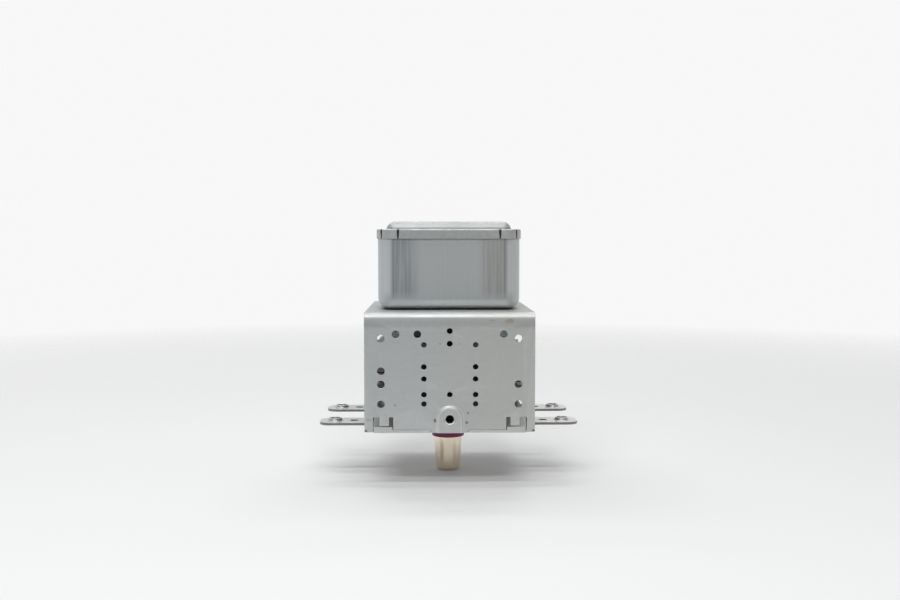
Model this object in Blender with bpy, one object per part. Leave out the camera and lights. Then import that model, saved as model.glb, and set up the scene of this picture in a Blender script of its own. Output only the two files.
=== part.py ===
"""A microwave-oven magnetron, standing on its antenna, with the filter box on top.

Origin: on the antenna's axis, at the underside of the mounting plate, where the
waveguide's wall comes. +Z points up to the filter box, the closed legs of the
yoke face -Y and +Y, the cooling air passes along X, and the connector faces +Y.
"""

import math

import bmesh
import bpy
from mathutils import Matrix, Vector

MM = 0.001
CLEAR = 0.3 * MM           # gap between pieces that touch or fit
OVERCUT = 3.0 * MM         # how far a cutter runs past what it cuts

# Yoke, one folded strip of steel
YOKE_WIDTH = 82.0 * MM
YOKE_DEPTH = 95.0 * MM
YOKE_SHEET = 1.6 * MM
YOKE_BEND = 4.0 * MM       # outer radius
BEND_STEPS = 4

# Foot of each leg, with its corners, windows and tongues
CORNER_LIFT = 0.6 * MM
TONGUE_HALF = 9.0 * MM
WINDOW_INSET = 4.2 * MM    # from the side edge
WINDOW_WIDTH = 9.6 * MM
WINDOW_TOP = 7.6 * MM
STAKE_INSET = 3.0 * MM     # from the window's outer edge
STAKE_WIDTH = 4.6 * MM
STAKE_LOW = 3.4 * MM

# Embossed fixing pad at the foot of each leg
PAD_HALF = 6.7 * MM
PAD_SLOPE = 1.2 * MM       # how much narrower its flat face is
PAD_RAISE = 1.0 * MM
PAD_CENTRE = 6.6 * MM      # height of its screw hole
PAD_HOLE = 4.0 * MM
PAD_CHAMFER = 0.8 * MM
PAD_STEPS = 7

# Punched holes of the legs
COLUMN_INSET = 8.0 * MM    # outer columns, from the side edge
COLUMN_INNER = 12.4 * MM
LOCATOR_INSET = 15.1 * MM  # outer pair of the top row, from the side edge
LOCATOR_PITCH = 10.4 * MM  # from the left one to the single one beside it
ROUND_HOLE = 3.6 * MM
SMALL_HOLE = 2.6 * MM
MIDDLE_HOLE = 2.8 * MM
EDGE_HEIGHTS = (13.9 * MM, 23.5 * MM)
EDGE_EXTRA = 29.9 * MM
COLUMN_HEIGHTS = (14.0 * MM, 18.5 * MM, 26.1 * MM, 31.9 * MM)
MIDDLE_HEIGHT = 18.5 * MM
BELOW_TOP_COLUMN = 15.5 * MM
BELOW_TOP_MIDDLE = (8.9 * MM, 15.0 * MM)
BELOW_TOP_LOCATOR = 10.4 * MM
BELOW_TOP_EDGE = 12.5 * MM
NOTCH_INSET = 2.6 * MM     # round-ended notches in the rear leg's side edges
NOTCH_RADIUS = 2.0 * MM
BELOW_TOP_NOTCH = 20.2 * MM
HOLE_SIDES = 8

# Mounting plate with its four ears
PLATE_SHEET = 1.4 * MM
EAR_SPAN = 130.0 * MM
EAR_WIDTH = 14.5 * MM
EAR_HOLE_INSET = 7.5 * MM  # from an ear's tip to its fixing hole
EAR_PITCH_Y = 40.0 * MM    # between the fixing holes
EAR_CORNER = 5.0 * MM
EAR_ROOT = 3.0 * MM
COLLAR_RADIUS = 3.4 * MM
COLLAR_BORE = 2.6 * MM
COLLAR_RISE = 1.3 * MM
PILOT_PITCH = 9.7 * MM     # from a fixing hole to its pilot hole
PILOT_RADIUS = 2.1 * MM

# Output: seal cup, insulator, cap and mesh gasket
SEAL_RADIUS = 8.9 * MM
SEAL_WALL = 0.5 * MM
SEAL_TURN = 1.7 * MM       # width of its turned-in end
OUTPUT_SEAL_DROP = 2.6 * MM
SEAL_TO_PLATE = 0.7 * MM   # gaps round the seal cups, in the plate,
SEAL_TO_MAGNET = 1.7 * MM  # in the magnets and the yoke's top,
SEAL_TO_BOX = 1.1 * MM     # and in the filter box
INSULATOR_INSET = 0.45 * MM
INSULATOR_WALL = 2.2 * MM
INSULATOR_LENGTH = 6.5 * MM
INSULATOR_EDGE = 0.5 * MM
CAP_RADIUS = 6.9 * MM
CAP_TAPER = 0.45 * MM
CAP_ROUND = 1.8 * MM
CAP_WALL = 0.5 * MM
CAP_LENGTH = 18.4 * MM
GASKET_WIDTH = 5.3 * MM
GASKET_HEIGHT = 4.4 * MM
GASKET_ROUND = 1.5 * MM
SLEEVE_WALL = 0.4 * MM
SLEEVE_FLANGE = 2.0 * MM
EXHAUST_RADIUS = 2.6 * MM
EXHAUST_WALL = 0.6 * MM
EXHAUST_PINCH = 6.0 * MM
EXHAUST_STOP = 5.1 * MM    # from its end to the cap's tip
PINCH_FLAT = 0.22          # share of the tube's thickness left at its pinched end
PINCH_SPREAD = 0.35        # by how much that end is wider than the tube
FITTING_SKIRT = 4.0 * MM

# Magnets, anode and pole pieces
MAGNET_RADIUS = 26.5 * MM
MAGNET_HEIGHT = 12.7 * MM
MAGNET_EDGE = 0.8 * MM
ANODE_RADIUS = 19.5 * MM
ANODE_HEIGHT = 26.8 * MM
ANODE_WALL = 2.0 * MM
REBATE_WALL = 1.0 * MM     # what is left of the wall round a pole piece
POLE_SHEET = 1.6 * MM
POLE_DISH_RADIUS = 12.0 * MM
POLE_TIP_RADIUS = 6.4 * MM
POLE_BORE = 4.8 * MM
POLE_GAP = 2.2 * MM        # from a pole tip to the vanes' edges
LARGE_SIDES = 24
MEDIUM_SIDES = 18
RIVET_SIDES = 8
ROUND_STEPS = 3            # facets of a small rounded edge

# Vanes and straps
VANE_COUNT = 10
VANE_SHEET = 2.0 * MM
VANE_HEIGHT = 9.6 * MM
VANE_TIP = 4.6 * MM        # radius of the working space
STRAP_RADIUS = 6.4 * MM    # inner radius of the smaller ring
STRAP_WIDTH = 0.9 * MM
STRAP_HEIGHT = 0.9 * MM
STRAP_FREE = 0.7 * MM      # clearance over the vanes that a ring skips

# Cathode
FILAMENT_RADIUS = 1.9 * MM
FILAMENT_WIRE = 0.28 * MM
FILAMENT_TURNS = 6
TURN_POINTS = 6
HAT_RADIUS = 3.6 * MM
HAT_THICKNESS = 0.9 * MM
LEAD_RADIUS = 0.75 * MM
SIDE_LEAD_X = 2.6 * MM
STEM_SEAL_RISE = 4.5 * MM  # seal cup's end above the yoke
STEM_HEIGHT = 13.0 * MM
STEM_CROWN = 3.0 * MM      # thickness of the insulator's closed end
TERMINAL_SHEET = 0.6 * MM
TERMINAL_LENGTH = 7.0 * MM
TERMINAL_WIDTH = 4.0 * MM
TERMINAL_RISE = 2.0 * MM
ANTENNA_WIRE = 1.1 * MM
ANTENNA_START = 10.6 * MM  # distance from the axis where it leaves its vane
ANTENNA_WAY = 2.8 * MM     # radius of its hole in the lower pole piece
ANTENNA_LEAN = 1.0 * MM    # how far that hole's centre lies nearer the axis
ANTENNA_EARLY = 0.8 * MM   # how soon above the pole piece's rim it starts to bend
ANTENNA_STEPS = 6

# Cooling fins
FIN_COUNT = 5
FIN_PITCH = 4.4 * MM
FIN_SHEET = 0.6 * MM
FIN_INSET = 3.5 * MM       # from the yoke's side edge
FIN_FLANGE = 3.0 * MM
FIN_BEND = 1.2 * MM
FIN_COLLAR = 1.8 * MM
FIN_COLLAR_WALL = 0.6 * MM
FIN_SLOT = 6.0 * MM        # gap between the flange's tongues
FIN_CORNER = 5.0 * MM

# Filter box, drawn from sheet, and its lid
BOX_WIDTH = 70.7 * MM
BOX_FRONT = -31.0 * MM
BOX_BACK = 38.0 * MM
BOX_HEIGHT = 38.9 * MM
BOX_SHEET = 0.5 * MM
BOX_CORNER = 8.0 * MM
BOX_EDGE = 5.5 * MM
CORNER_STEPS = 4
EDGE_STEPS = 3
FOLD_STEPS = 2
LID_SHEET = 0.4 * MM
LID_FIT = 0.25 * MM
LID_SKIRT = 4.7 * MM
LID_BEND = 0.9 * MM
LEAST_CORNER = 0.3 * MM
CROWN_INSET = 4.6 * MM
CROWN_RISE = 3.9 * MM
CROWN_STEP = 0.7 * MM      # height of the crown's wall below its rounded edge
CROWN_ROOT = 0.6 * MM
SLIT_AFTER_CORNER = 2.7 * MM
SLIT_WIDE = 1.1 * MM
SLIT_NARROW = 0.5 * MM
SLIT_ROOT = 0.9 * MM       # how far below the lid's top a slit ends

# Feed-through capacitor, its terminals and the connector's shroud
SHROUD_WIDTH = 32.0 * MM
SHROUD_HEIGHT = 15.0 * MM
SHROUD_LENGTH = 12.6 * MM
SHROUD_WALL = 1.5 * MM
SHROUD_FLOOR = 2.0 * MM
FEED_DROP = 0.45 * MM      # its axis below the middle of the box's height
FLANGE_MARGIN_X = 5.0 * MM # how far the plate stands past the shroud
FLANGE_MARGIN_Z = 3.5 * MM
FLANGE_SHEET = 0.8 * MM
FLANGE_CORNER = 3.0 * MM
BODY_WIDTH = 28.0 * MM
BODY_HEIGHT = 13.0 * MM
BODY_LENGTH = 10.0 * MM
BLADE_PITCH = 13.0 * MM
BLADE_WIDTH = 6.3 * MM
BLADE_SHEET = 0.8 * MM
BLADE_INSIDE = 5.0 * MM    # how far a blade shows behind the body
BLADE_SHORT = 1.6 * MM     # how far it stays behind the shroud's mouth
RIVET_RADIUS = 1.1 * MM
RIVET_HEAD = 2.0 * MM
RIVET_HEAD_HEIGHT = 0.8 * MM
RIVET_INSET = 3.4 * MM
BOX_RIVET_SIDE = 11.35 * MM
BOX_RIVET_BACK = 17.0 * MM
STADIUM_STEPS = 6

# Choke coils on ferrite rods
COIL_WIRE = 0.65 * MM
COIL_PITCH = 2.1 * MM
COIL_TURNS = 7
COIL_POINTS = 8
COIL_X = 17.0 * MM
COIL_FRONT = -16.0 * MM
CORE_RADIUS = 2.4 * MM
CORE_PAST = 1.2 * MM

# Levels and faces that several pieces share
LEG_OUT = YOKE_DEPTH / 2
LEG_IN = LEG_OUT - YOKE_SHEET
FOOT_LIFT = PLATE_SHEET + CLEAR
ANODE_HALF = ANODE_HEIGHT / 2
STACK_HALF = ANODE_HALF + CLEAR + SEAL_WALL
MIDDLE = PLATE_SHEET + CLEAR + MAGNET_HEIGHT + CLEAR + STACK_HALF
CEILING = 2 * MIDDLE - PLATE_SHEET
YOKE_TOP = CEILING + YOKE_SHEET
WINDOW_OUTER = YOKE_WIDTH / 2 - WINDOW_INSET
WINDOW_INNER = WINDOW_OUTER - WINDOW_WIDTH
STAKE_OUTER = WINDOW_OUTER - STAKE_INSET
STAKE_INNER = STAKE_OUTER - STAKE_WIDTH
EAR_HOLE_X = EAR_SPAN / 2 - EAR_HOLE_INSET
MAGNET_BORE = SEAL_RADIUS + SEAL_TO_MAGNET
SEAL_LIP = SEAL_RADIUS - SEAL_TURN
INSULATOR_RADIUS = SEAL_RADIUS - INSULATOR_INSET
OUTPUT_SEAL_END = -OUTPUT_SEAL_DROP
INSULATOR_END = OUTPUT_SEAL_END - CLEAR - INSULATOR_LENGTH
CAP_SEAT = INSULATOR_END - CLEAR
CAP_TIP = CAP_SEAT - CAP_LENGTH
EXHAUST_END = CAP_TIP + EXHAUST_STOP
BOX_FLOOR = YOKE_TOP + CLEAR
BOX_RIM = BOX_FLOOR + BOX_HEIGHT
LID_TOP = BOX_RIM + CLEAR + LID_SHEET
FEED_Z = BOX_FLOOR + BOX_HEIGHT / 2 - FEED_DROP
FLANGE_WIDTH = SHROUD_WIDTH + 2 * FLANGE_MARGIN_X
FLANGE_HEIGHT = SHROUD_HEIGHT + 2 * FLANGE_MARGIN_Z
STEM_LOW = YOKE_TOP + STEM_SEAL_RISE + CLEAR
STEM_TOP = STEM_LOW + STEM_HEIGHT


def clear_scene():
    """Empties the scene that the model is built in."""
    for thing in list(bpy.data.objects):
        bpy.data.objects.remove(thing, do_unlink=True)


def material(name, colour, roughness, metallic):
    """A plain finish, made once for each name."""
    found = bpy.data.materials.get(name)
    if found:
        return found
    made = bpy.data.materials.new(name)
    made.use_nodes = True
    shader = made.node_tree.nodes["Principled BSDF"]
    shader.inputs["Base Color"].default_value = (*colour, 1.0)
    shader.inputs["Roughness"].default_value = roughness
    shader.inputs["Metallic"].default_value = metallic
    return made


def zinc_plate():
    return material("zinc plated steel", (0.60, 0.62, 0.62), 0.42, 0.9)


def bright_steel():
    return material("bright steel", (0.66, 0.66, 0.64), 0.35, 0.95)


def copper():
    return material("copper", (0.80, 0.42, 0.27), 0.35, 1.0)


def aluminium():
    return material("aluminium", (0.78, 0.79, 0.80), 0.38, 1.0)


def iron():
    return material("soft iron", (0.42, 0.41, 0.40), 0.5, 0.9)


def ferrite():
    return material("ferrite", (0.07, 0.07, 0.075), 0.7, 0.0)


def molybdenum():
    return material("molybdenum", (0.45, 0.45, 0.46), 0.45, 1.0)


def make(name, bm, finish):
    """Turns a built mesh into a named object with outward faces."""
    bmesh.ops.recalc_face_normals(bm, faces=bm.faces)
    mesh = bpy.data.meshes.new(name)
    bm.to_mesh(mesh)
    bm.free()
    mesh.shade_smooth()
    mesh.set_sharp_from_angle(angle=math.radians(35))
    if finish:
        mesh.materials.append(finish)
    thing = bpy.data.objects.new(name, mesh)
    bpy.context.scene.collection.objects.link(thing)
    return thing


def cutter(name, bm):
    """A guide solid that only Boolean modifiers use."""
    thing = make(name, bm, None)
    thing.hide_render = True
    thing.display_type = "WIRE"
    return thing


def combine(thing, tool, operation):
    """Cuts or joins with a live Boolean modifier."""
    step = thing.modifiers.new(tool.name, "BOOLEAN")
    step.operation = operation
    step.solver = "EXACT"
    step.object = tool


def arc(centre_a, centre_b, radius, start, end, steps):
    """Points along an arc, angles in degrees, both ends included."""
    points = []
    for step in range(steps + 1):
        angle = math.radians(start + (end - start) * step / steps)
        points.append((centre_a + radius * math.cos(angle), centre_b + radius * math.sin(angle)))
    return points


def place(plane, a, b, along):
    """The point at (a, b) of a named plane, this far along the plane's normal."""
    if plane == "XY":
        return (a, b, along)
    if plane == "XZ":
        return (a, along, b)
    return (along, a, b)


def add_prism(bm, outline, plane, low, high):
    """A straight solid: an outline drawn out between two distances."""
    face = bm.faces.new([bm.verts.new(place(plane, a, b, low)) for a, b in outline])
    sweep = bmesh.ops.extrude_face_region(bm, geom=[face])
    moved = [part for part in sweep["geom"] if isinstance(part, bmesh.types.BMVert)]
    bmesh.ops.translate(bm, vec=Vector(place(plane, 0, 0, high - low)), verts=moved)


def add_box(bm, x, y, z):
    """A box from its three pairs of limits."""
    outline = [(x[0], y[0]), (x[1], y[0]), (x[1], y[1]), (x[0], y[1])]
    add_prism(bm, outline, "XY", z[0], z[1])


def add_cylinder(bm, plane, a, b, radius, low, high, sides):
    """A round bar across the named plane."""
    outline = arc(a, b, radius, 0, 360, sides)[:-1]
    add_prism(bm, outline, plane, low, high)


def add_loft(bm, outline_low, outline_high, plane, low, high):
    """A solid between two outlines with as many points as each other."""
    lower = [bm.verts.new(place(plane, a, b, low)) for a, b in outline_low]
    upper = [bm.verts.new(place(plane, a, b, high)) for a, b in outline_high]
    bm.faces.new(lower)
    bm.faces.new(upper)
    count = len(lower)
    for index in range(count):
        after = (index + 1) % count
        bm.faces.new([lower[index], lower[after], upper[after], upper[index]])


def add_turned(bm, profile, sides, closed=True):
    """Spins a profile of (radius, height) round the axis.

    A closed profile gives a ring. An open one starts and ends on the axis.
    """
    verts = [bm.verts.new((radius, 0, height)) for radius, height in profile]
    edges = [bm.edges.new((verts[i], verts[i + 1])) for i in range(len(verts) - 1)]
    if closed:
        edges.append(bm.edges.new((verts[-1], verts[0])))
    before = set(bm.verts) - set(verts)
    bmesh.ops.spin(bm, geom=verts + edges, cent=(0, 0, 0), axis=(0, 0, 1),
                   angle=2 * math.pi, steps=sides, use_merge=True)
    fresh = [vert for vert in bm.verts if vert not in before]
    bmesh.ops.remove_doubles(bm, verts=fresh, dist=0.001 * MM)


def turned(name, profile, sides, finish, closed=True):
    """A turned or drawn round piece on the antenna's axis."""
    bm = bmesh.new()
    add_turned(bm, profile, sides, closed)
    return make(name, bm, finish)


def add_rings(bm, rings, open_first=False):
    """Skins a stack of loops and closes its ends, the first one only if asked."""
    loops = [[bm.verts.new(point) for point in ring] for ring in rings]
    for lower, upper in zip(loops, loops[1:]):
        count = len(lower)
        for index in range(count):
            after = (index + 1) % count
            bm.faces.new([lower[index], lower[after], upper[after], upper[index]])
    bm.faces.new(loops[-1])
    if not open_first:
        bm.faces.new(loops[0])


def rounded_rectangle(half, front, back, corner, steps):
    """Corner-rounded outline, symmetric in X, anticlockwise from above."""
    points = arc(half - corner, front + corner, corner, -90, 0, steps)
    points += arc(half - corner, back - corner, corner, 0, 90, steps)
    points += arc(corner - half, back - corner, corner, 90, 180, steps)
    points += arc(corner - half, front + corner, corner, 180, 270, steps)
    return points


def stadium(width, height, centre_z, steps):
    """Outline with half-round ends, lying along X in the XZ plane."""
    radius = height / 2
    reach = width / 2 - radius
    return (arc(reach, centre_z, radius, -90, 90, steps)
            + arc(-reach, centre_z, radius, 90, 270, steps))


def wire(name, points, radius, finish):
    """A round rod or wire along a list of points."""
    curve = bpy.data.curves.new(name, "CURVE")
    curve.dimensions = "3D"
    curve.bevel_depth = radius
    curve.bevel_resolution = 1
    curve.use_fill_caps = True
    spline = curve.splines.new("POLY")
    spline.points.add(len(points) - 1)
    for slot, point in zip(spline.points, points):
        slot.co = (*point, 1.0)
    curve.materials.append(finish)
    thing = bpy.data.objects.new(name, curve)
    bpy.context.scene.collection.objects.link(thing)
    return thing


def shell(name, rings, sheet, finish):
    """A drawn sheet-metal cup: its outer skin, thickened inwards."""
    bm = bmesh.new()
    add_rings(bm, rings, open_first=True)
    thing = make(name, bm, finish)
    wall = thing.modifiers.new("sheet", "SOLIDIFY")
    wall.thickness = sheet
    wall.offset = -1.0
    wall.use_even_offset = True
    return thing


def mirrored(points):
    """The right half of an outline, then its mirror image back again."""
    return points + [(-a, b) for a, b in reversed(points)]


def leg_holes():
    """Every punched hole that both legs share, as (x, z, diameter)."""
    column = YOKE_WIDTH / 2 - COLUMN_INSET
    locator = YOKE_WIDTH / 2 - LOCATOR_INSET
    holes = [(LOCATOR_PITCH - locator, YOKE_TOP - BELOW_TOP_LOCATOR, ROUND_HOLE),
             (-column, EDGE_EXTRA, ROUND_HOLE),
             (0.0, MIDDLE_HEIGHT, SMALL_HOLE)]
    for side in (-1, 1):
        holes.append((side * column, YOKE_TOP - BELOW_TOP_EDGE, ROUND_HOLE))
        holes.append((side * locator, YOKE_TOP - BELOW_TOP_LOCATOR, ROUND_HOLE))
        holes.append((side * COLUMN_INNER, YOKE_TOP - BELOW_TOP_COLUMN, SMALL_HOLE))
        holes += [(side * column, height, ROUND_HOLE) for height in EDGE_HEIGHTS]
        holes += [(side * COLUMN_INNER, height, SMALL_HOLE) for height in COLUMN_HEIGHTS]
    holes += [(0.0, YOKE_TOP - drop, MIDDLE_HOLE) for drop in BELOW_TOP_MIDDLE]
    return holes


def foot_outline():
    """What the punch takes away under the legs, windows and tongues included."""
    side = YOKE_WIDTH / 2 + OVERCUT
    right = [(TONGUE_HALF, 0.0), (TONGUE_HALF, FOOT_LIFT),
             (WINDOW_INNER, FOOT_LIFT), (WINDOW_INNER, WINDOW_TOP),
             (STAKE_INNER, WINDOW_TOP), (STAKE_INNER, STAKE_LOW),
             (STAKE_OUTER, STAKE_LOW), (STAKE_OUTER, WINDOW_TOP),
             (WINDOW_OUTER, WINDOW_TOP), (WINDOW_OUTER, CORNER_LIFT),
             (side, CORNER_LIFT), (side, -2 * OVERCUT)]
    return mirrored(right)


def pad_outline(half):
    """Arch of the embossed pad, open towards the foot."""
    return arc(0.0, PAD_CENTRE, half, 0, 180, PAD_STEPS) + [(-half, -OVERCUT), (half, -OVERCUT)]


def build_yoke():
    """U-shaped yoke: a strip folded twice, punched, with an embossed pad per leg."""
    start = -OVERCUT
    outline = [(-LEG_OUT, start)]
    outline += arc(-LEG_OUT + YOKE_BEND, YOKE_TOP - YOKE_BEND, YOKE_BEND, 180, 90, BEND_STEPS)
    outline += arc(LEG_OUT - YOKE_BEND, YOKE_TOP - YOKE_BEND, YOKE_BEND, 90, 0, BEND_STEPS)
    outline += [(LEG_OUT, start), (LEG_IN, start)]
    inner = YOKE_BEND - YOKE_SHEET
    outline += arc(LEG_OUT - YOKE_BEND, YOKE_TOP - YOKE_BEND, inner, 0, 90, BEND_STEPS)
    outline += arc(-LEG_OUT + YOKE_BEND, YOKE_TOP - YOKE_BEND, inner, 90, 180, BEND_STEPS)
    outline += [(-LEG_IN, start)]
    bm = bmesh.new()
    add_prism(bm, outline, "YZ", -YOKE_WIDTH / 2, YOKE_WIDTH / 2)
    yoke = make("yoke", bm, zinc_plate())

    raised = bmesh.new()
    hollow = bmesh.new()
    rest = YOKE_SHEET / 2
    for side in (-1, 1):
        face = side * LEG_OUT
        add_loft(raised, pad_outline(PAD_HALF), pad_outline(PAD_HALF - PAD_SLOPE), "XZ",
                 face, face + side * PAD_RAISE)
        add_prism(raised, pad_outline(PAD_HALF), "XZ", face - side * rest, face)
        back = side * LEG_IN
        wall = PAD_SLOPE / 2
        add_loft(hollow, pad_outline(PAD_HALF - wall), pad_outline(PAD_HALF - PAD_SLOPE - wall),
                 "XZ", back, back + side * PAD_RAISE)
        add_prism(hollow, pad_outline(PAD_HALF - wall), "XZ", back - side * OVERCUT, back)
    combine(yoke, cutter("pad_raise", raised), "UNION")
    combine(yoke, cutter("pad_hollow", hollow), "DIFFERENCE")

    punched = bmesh.new()
    add_prism(punched, foot_outline(), "XZ", -LEG_OUT - OVERCUT, LEG_OUT + OVERCUT)
    combine(yoke, cutter("foot_punch", punched), "DIFFERENCE")

    holes = bmesh.new()
    for side in (-1, 1):
        low, high = sorted((side * (LEG_IN - OVERCUT), side * (LEG_OUT + OVERCUT)))
        for x, z, diameter in leg_holes():
            add_cylinder(holes, "XZ", x, z, diameter / 2, low, high, HOLE_SIDES)
        add_cylinder(holes, "XZ", 0.0, PAD_CENTRE, PAD_HOLE / 2, low, high, HOLE_SIDES)
        notch_z = YOKE_TOP - BELOW_TOP_NOTCH
        if side > 0:
            for way in (-1, 1):
                notch_x = way * (YOKE_WIDTH / 2 - NOTCH_INSET)
                edge = way * (YOKE_WIDTH / 2 + OVERCUT)
                turn = 90 if way < 0 else -90
                notch = arc(notch_x, notch_z, NOTCH_RADIUS, turn, turn - 180, HOLE_SIDES // 2)
                notch += [(edge, notch[-1][1]), (edge, notch[0][1])]
                add_prism(holes, notch, "XZ", low, high)
    add_cylinder(holes, "XY", 0.0, 0.0, MAGNET_BORE, CEILING - OVERCUT, YOKE_TOP + OVERCUT,
                 MEDIUM_SIDES)
    for x, y in box_rivet_places():
        add_cylinder(holes, "XY", x, y, RIVET_RADIUS + CLEAR, CEILING - OVERCUT,
                     YOKE_TOP + OVERCUT, RIVET_SIDES)
    combine(yoke, cutter("yoke_holes", holes), "DIFFERENCE")

    sinks = bmesh.new()
    for side in (-1, 1):
        face = side * (LEG_OUT + PAD_RAISE)
        wide = arc(0.0, PAD_CENTRE, PAD_HOLE / 2 + PAD_CHAMFER + CLEAR, 0, 360, HOLE_SIDES)[:-1]
        narrow = arc(0.0, PAD_CENTRE, PAD_HOLE / 2, 0, 360, HOLE_SIDES)[:-1]
        add_loft(sinks, narrow, wide, "XZ", face - side * PAD_CHAMFER, face + side * CLEAR)
    combine(yoke, cutter("pad_countersink", sinks), "DIFFERENCE")
    return yoke


def ear_outline():
    """Plan of the mounting plate, quarter by quarter, anticlockwise from above."""
    tip = EAR_SPAN / 2
    body = YOKE_WIDTH / 2
    foot = WINDOW_OUTER - CLEAR
    near = EAR_PITCH_Y / 2 - EAR_WIDTH / 2
    far = EAR_PITCH_Y / 2 + EAR_WIDTH / 2
    strip = LEG_IN - CLEAR
    notch = TONGUE_HALF + CLEAR
    quarter = []
    quarter += arc(body + EAR_ROOT, near - EAR_ROOT, EAR_ROOT, 180, 90, ROUND_STEPS)
    quarter += arc(tip - EAR_CORNER, near + EAR_CORNER, EAR_CORNER, -90, 0, CORNER_STEPS)
    quarter += arc(tip - EAR_CORNER, far - EAR_CORNER, EAR_CORNER, 0, 90, CORNER_STEPS)
    quarter += arc(body + EAR_ROOT, far + EAR_ROOT, EAR_ROOT, 270, 180, ROUND_STEPS)
    quarter += [(body, strip), (foot, strip), (foot, LEG_OUT), (notch, LEG_OUT), (notch, strip)]
    back_left = [(-x, y) for x, y in reversed(quarter)]
    front_left = [(-x, -y) for x, y in quarter]
    front_right = [(x, -y) for x, y in reversed(quarter)]
    return quarter + back_left + front_left + front_right


def ear_centres():
    """The four fixing holes."""
    return [(x * EAR_HOLE_X, y * EAR_PITCH_Y / 2) for x in (-1, 1) for y in (-1, 1)]


def build_mounting_plate():
    """Flat plate that closes the yoke, with ears, drawn collars and staking tabs."""
    bm = bmesh.new()
    add_prism(bm, ear_outline(), "XY", 0.0, PLATE_SHEET)
    plate = make("mounting_plate", bm, zinc_plate())

    raised = bmesh.new()
    for x, y in ear_centres():
        add_cylinder(raised, "XY", x, y, COLLAR_RADIUS, PLATE_SHEET / 2,
                     PLATE_SHEET + COLLAR_RISE, MEDIUM_SIDES)
    tab = (WINDOW_INNER + CLEAR, WINDOW_OUTER - CLEAR)
    for side_x in (-1, 1):
        for side_y in (-1, 1):
            x = sorted((side_x * tab[0], side_x * tab[1]))
            y = sorted((side_y * LEG_IN, side_y * LEG_OUT))
            add_box(raised, x, y, (PLATE_SHEET / 2, STAKE_LOW - CLEAR))
    combine(plate, cutter("plate_raise", raised), "UNION")

    holes = bmesh.new()
    top = PLATE_SHEET + COLLAR_RISE + OVERCUT
    for x, y in ear_centres():
        add_cylinder(holes, "XY", x, y, COLLAR_BORE, -OVERCUT, top, MEDIUM_SIDES)
        pilot = math.copysign(EAR_HOLE_X - PILOT_PITCH, x)
        add_cylinder(holes, "XY", pilot, y, PILOT_RADIUS, -OVERCUT, top, HOLE_SIDES)
    add_cylinder(holes, "XY", 0.0, 0.0, SEAL_RADIUS + SEAL_TO_PLATE, -OVERCUT, top, MEDIUM_SIDES)
    combine(plate, cutter("plate_holes", holes), "DIFFERENCE")
    return plate


def build_output():
    """What shows below the plate: gasket, insulator, fitting, tube and cap."""
    sleeve_in = SEAL_RADIUS + CLEAR
    sleeve_out = sleeve_in + SLEEVE_WALL
    low = -CLEAR - GASKET_HEIGHT
    gasket_in = sleeve_out + CLEAR
    outer_centre = gasket_in + GASKET_WIDTH - GASKET_ROUND
    inner_centre = gasket_in + GASKET_ROUND
    upper_centre = -CLEAR - GASKET_ROUND
    lower_centre = low + GASKET_ROUND
    profile = (arc(outer_centre, lower_centre, GASKET_ROUND, -90, 0, FOLD_STEPS)
               + arc(outer_centre, upper_centre, GASKET_ROUND, 0, 90, FOLD_STEPS)
               + arc(inner_centre, upper_centre, GASKET_ROUND, 90, 180, FOLD_STEPS)
               + arc(inner_centre, lower_centre, GASKET_ROUND, 180, 270, FOLD_STEPS))
    turned("mesh_gasket", profile, MEDIUM_SIDES, material("wire mesh", (0.55, 0.54, 0.5), 0.5, 0.9))

    edge = low - CLEAR
    turned("gasket_sleeve", [(sleeve_in, -CLEAR), (sleeve_in, edge - SLEEVE_WALL),
                             (sleeve_out + SLEEVE_FLANGE, edge - SLEEVE_WALL),
                             (sleeve_out + SLEEVE_FLANGE, edge), (sleeve_out, edge),
                             (sleeve_out, -CLEAR)], MEDIUM_SIDES, bright_steel())

    top = OUTPUT_SEAL_END - CLEAR
    bore = INSULATOR_RADIUS - INSULATOR_WALL
    turned("output_insulator", [(bore, top), (bore, INSULATOR_END),
                                (INSULATOR_RADIUS - INSULATOR_EDGE, INSULATOR_END),
                                (INSULATOR_RADIUS, INSULATOR_END + INSULATOR_EDGE),
                                (INSULATOR_RADIUS, top)], MEDIUM_SIDES,
           material("purple alumina", (0.20, 0.03, 0.08), 0.45, 0.0))

    fitting = CAP_RADIUS - CAP_WALL - CLEAR
    seat = CAP_SEAT
    skirt = seat - FITTING_SKIRT
    tube = EXHAUST_RADIUS + CLEAR
    turned("exhaust_fitting", [(tube, seat), (tube, seat - CAP_WALL),
                               (fitting - CAP_WALL - CAP_TAPER, seat - CAP_WALL),
                               (fitting - CAP_WALL - CAP_TAPER, skirt), (fitting - CAP_TAPER, skirt),
                               (fitting - CAP_TAPER, seat - CAP_WALL), (fitting, seat - CAP_WALL),
                               (fitting, seat)], MEDIUM_SIDES, bright_steel())

    foot = CAP_RADIUS - CAP_TAPER
    inside = arc(foot - CAP_ROUND, CAP_TIP + CAP_ROUND, CAP_ROUND - CAP_WALL, -90, 0, ROUND_STEPS)
    outside = arc(foot - CAP_ROUND, CAP_TIP + CAP_ROUND, CAP_ROUND, 0, -90, ROUND_STEPS)
    profile = [(0.0, CAP_TIP + CAP_WALL)] + inside
    profile += [(CAP_RADIUS - CAP_WALL, seat), (CAP_RADIUS, seat)]
    profile += outside + [(0.0, CAP_TIP)]
    turned("antenna_cap", profile, MEDIUM_SIDES, material("nickel", (0.62, 0.55, 0.46), 0.3, 1.0),
           closed=False)


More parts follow.
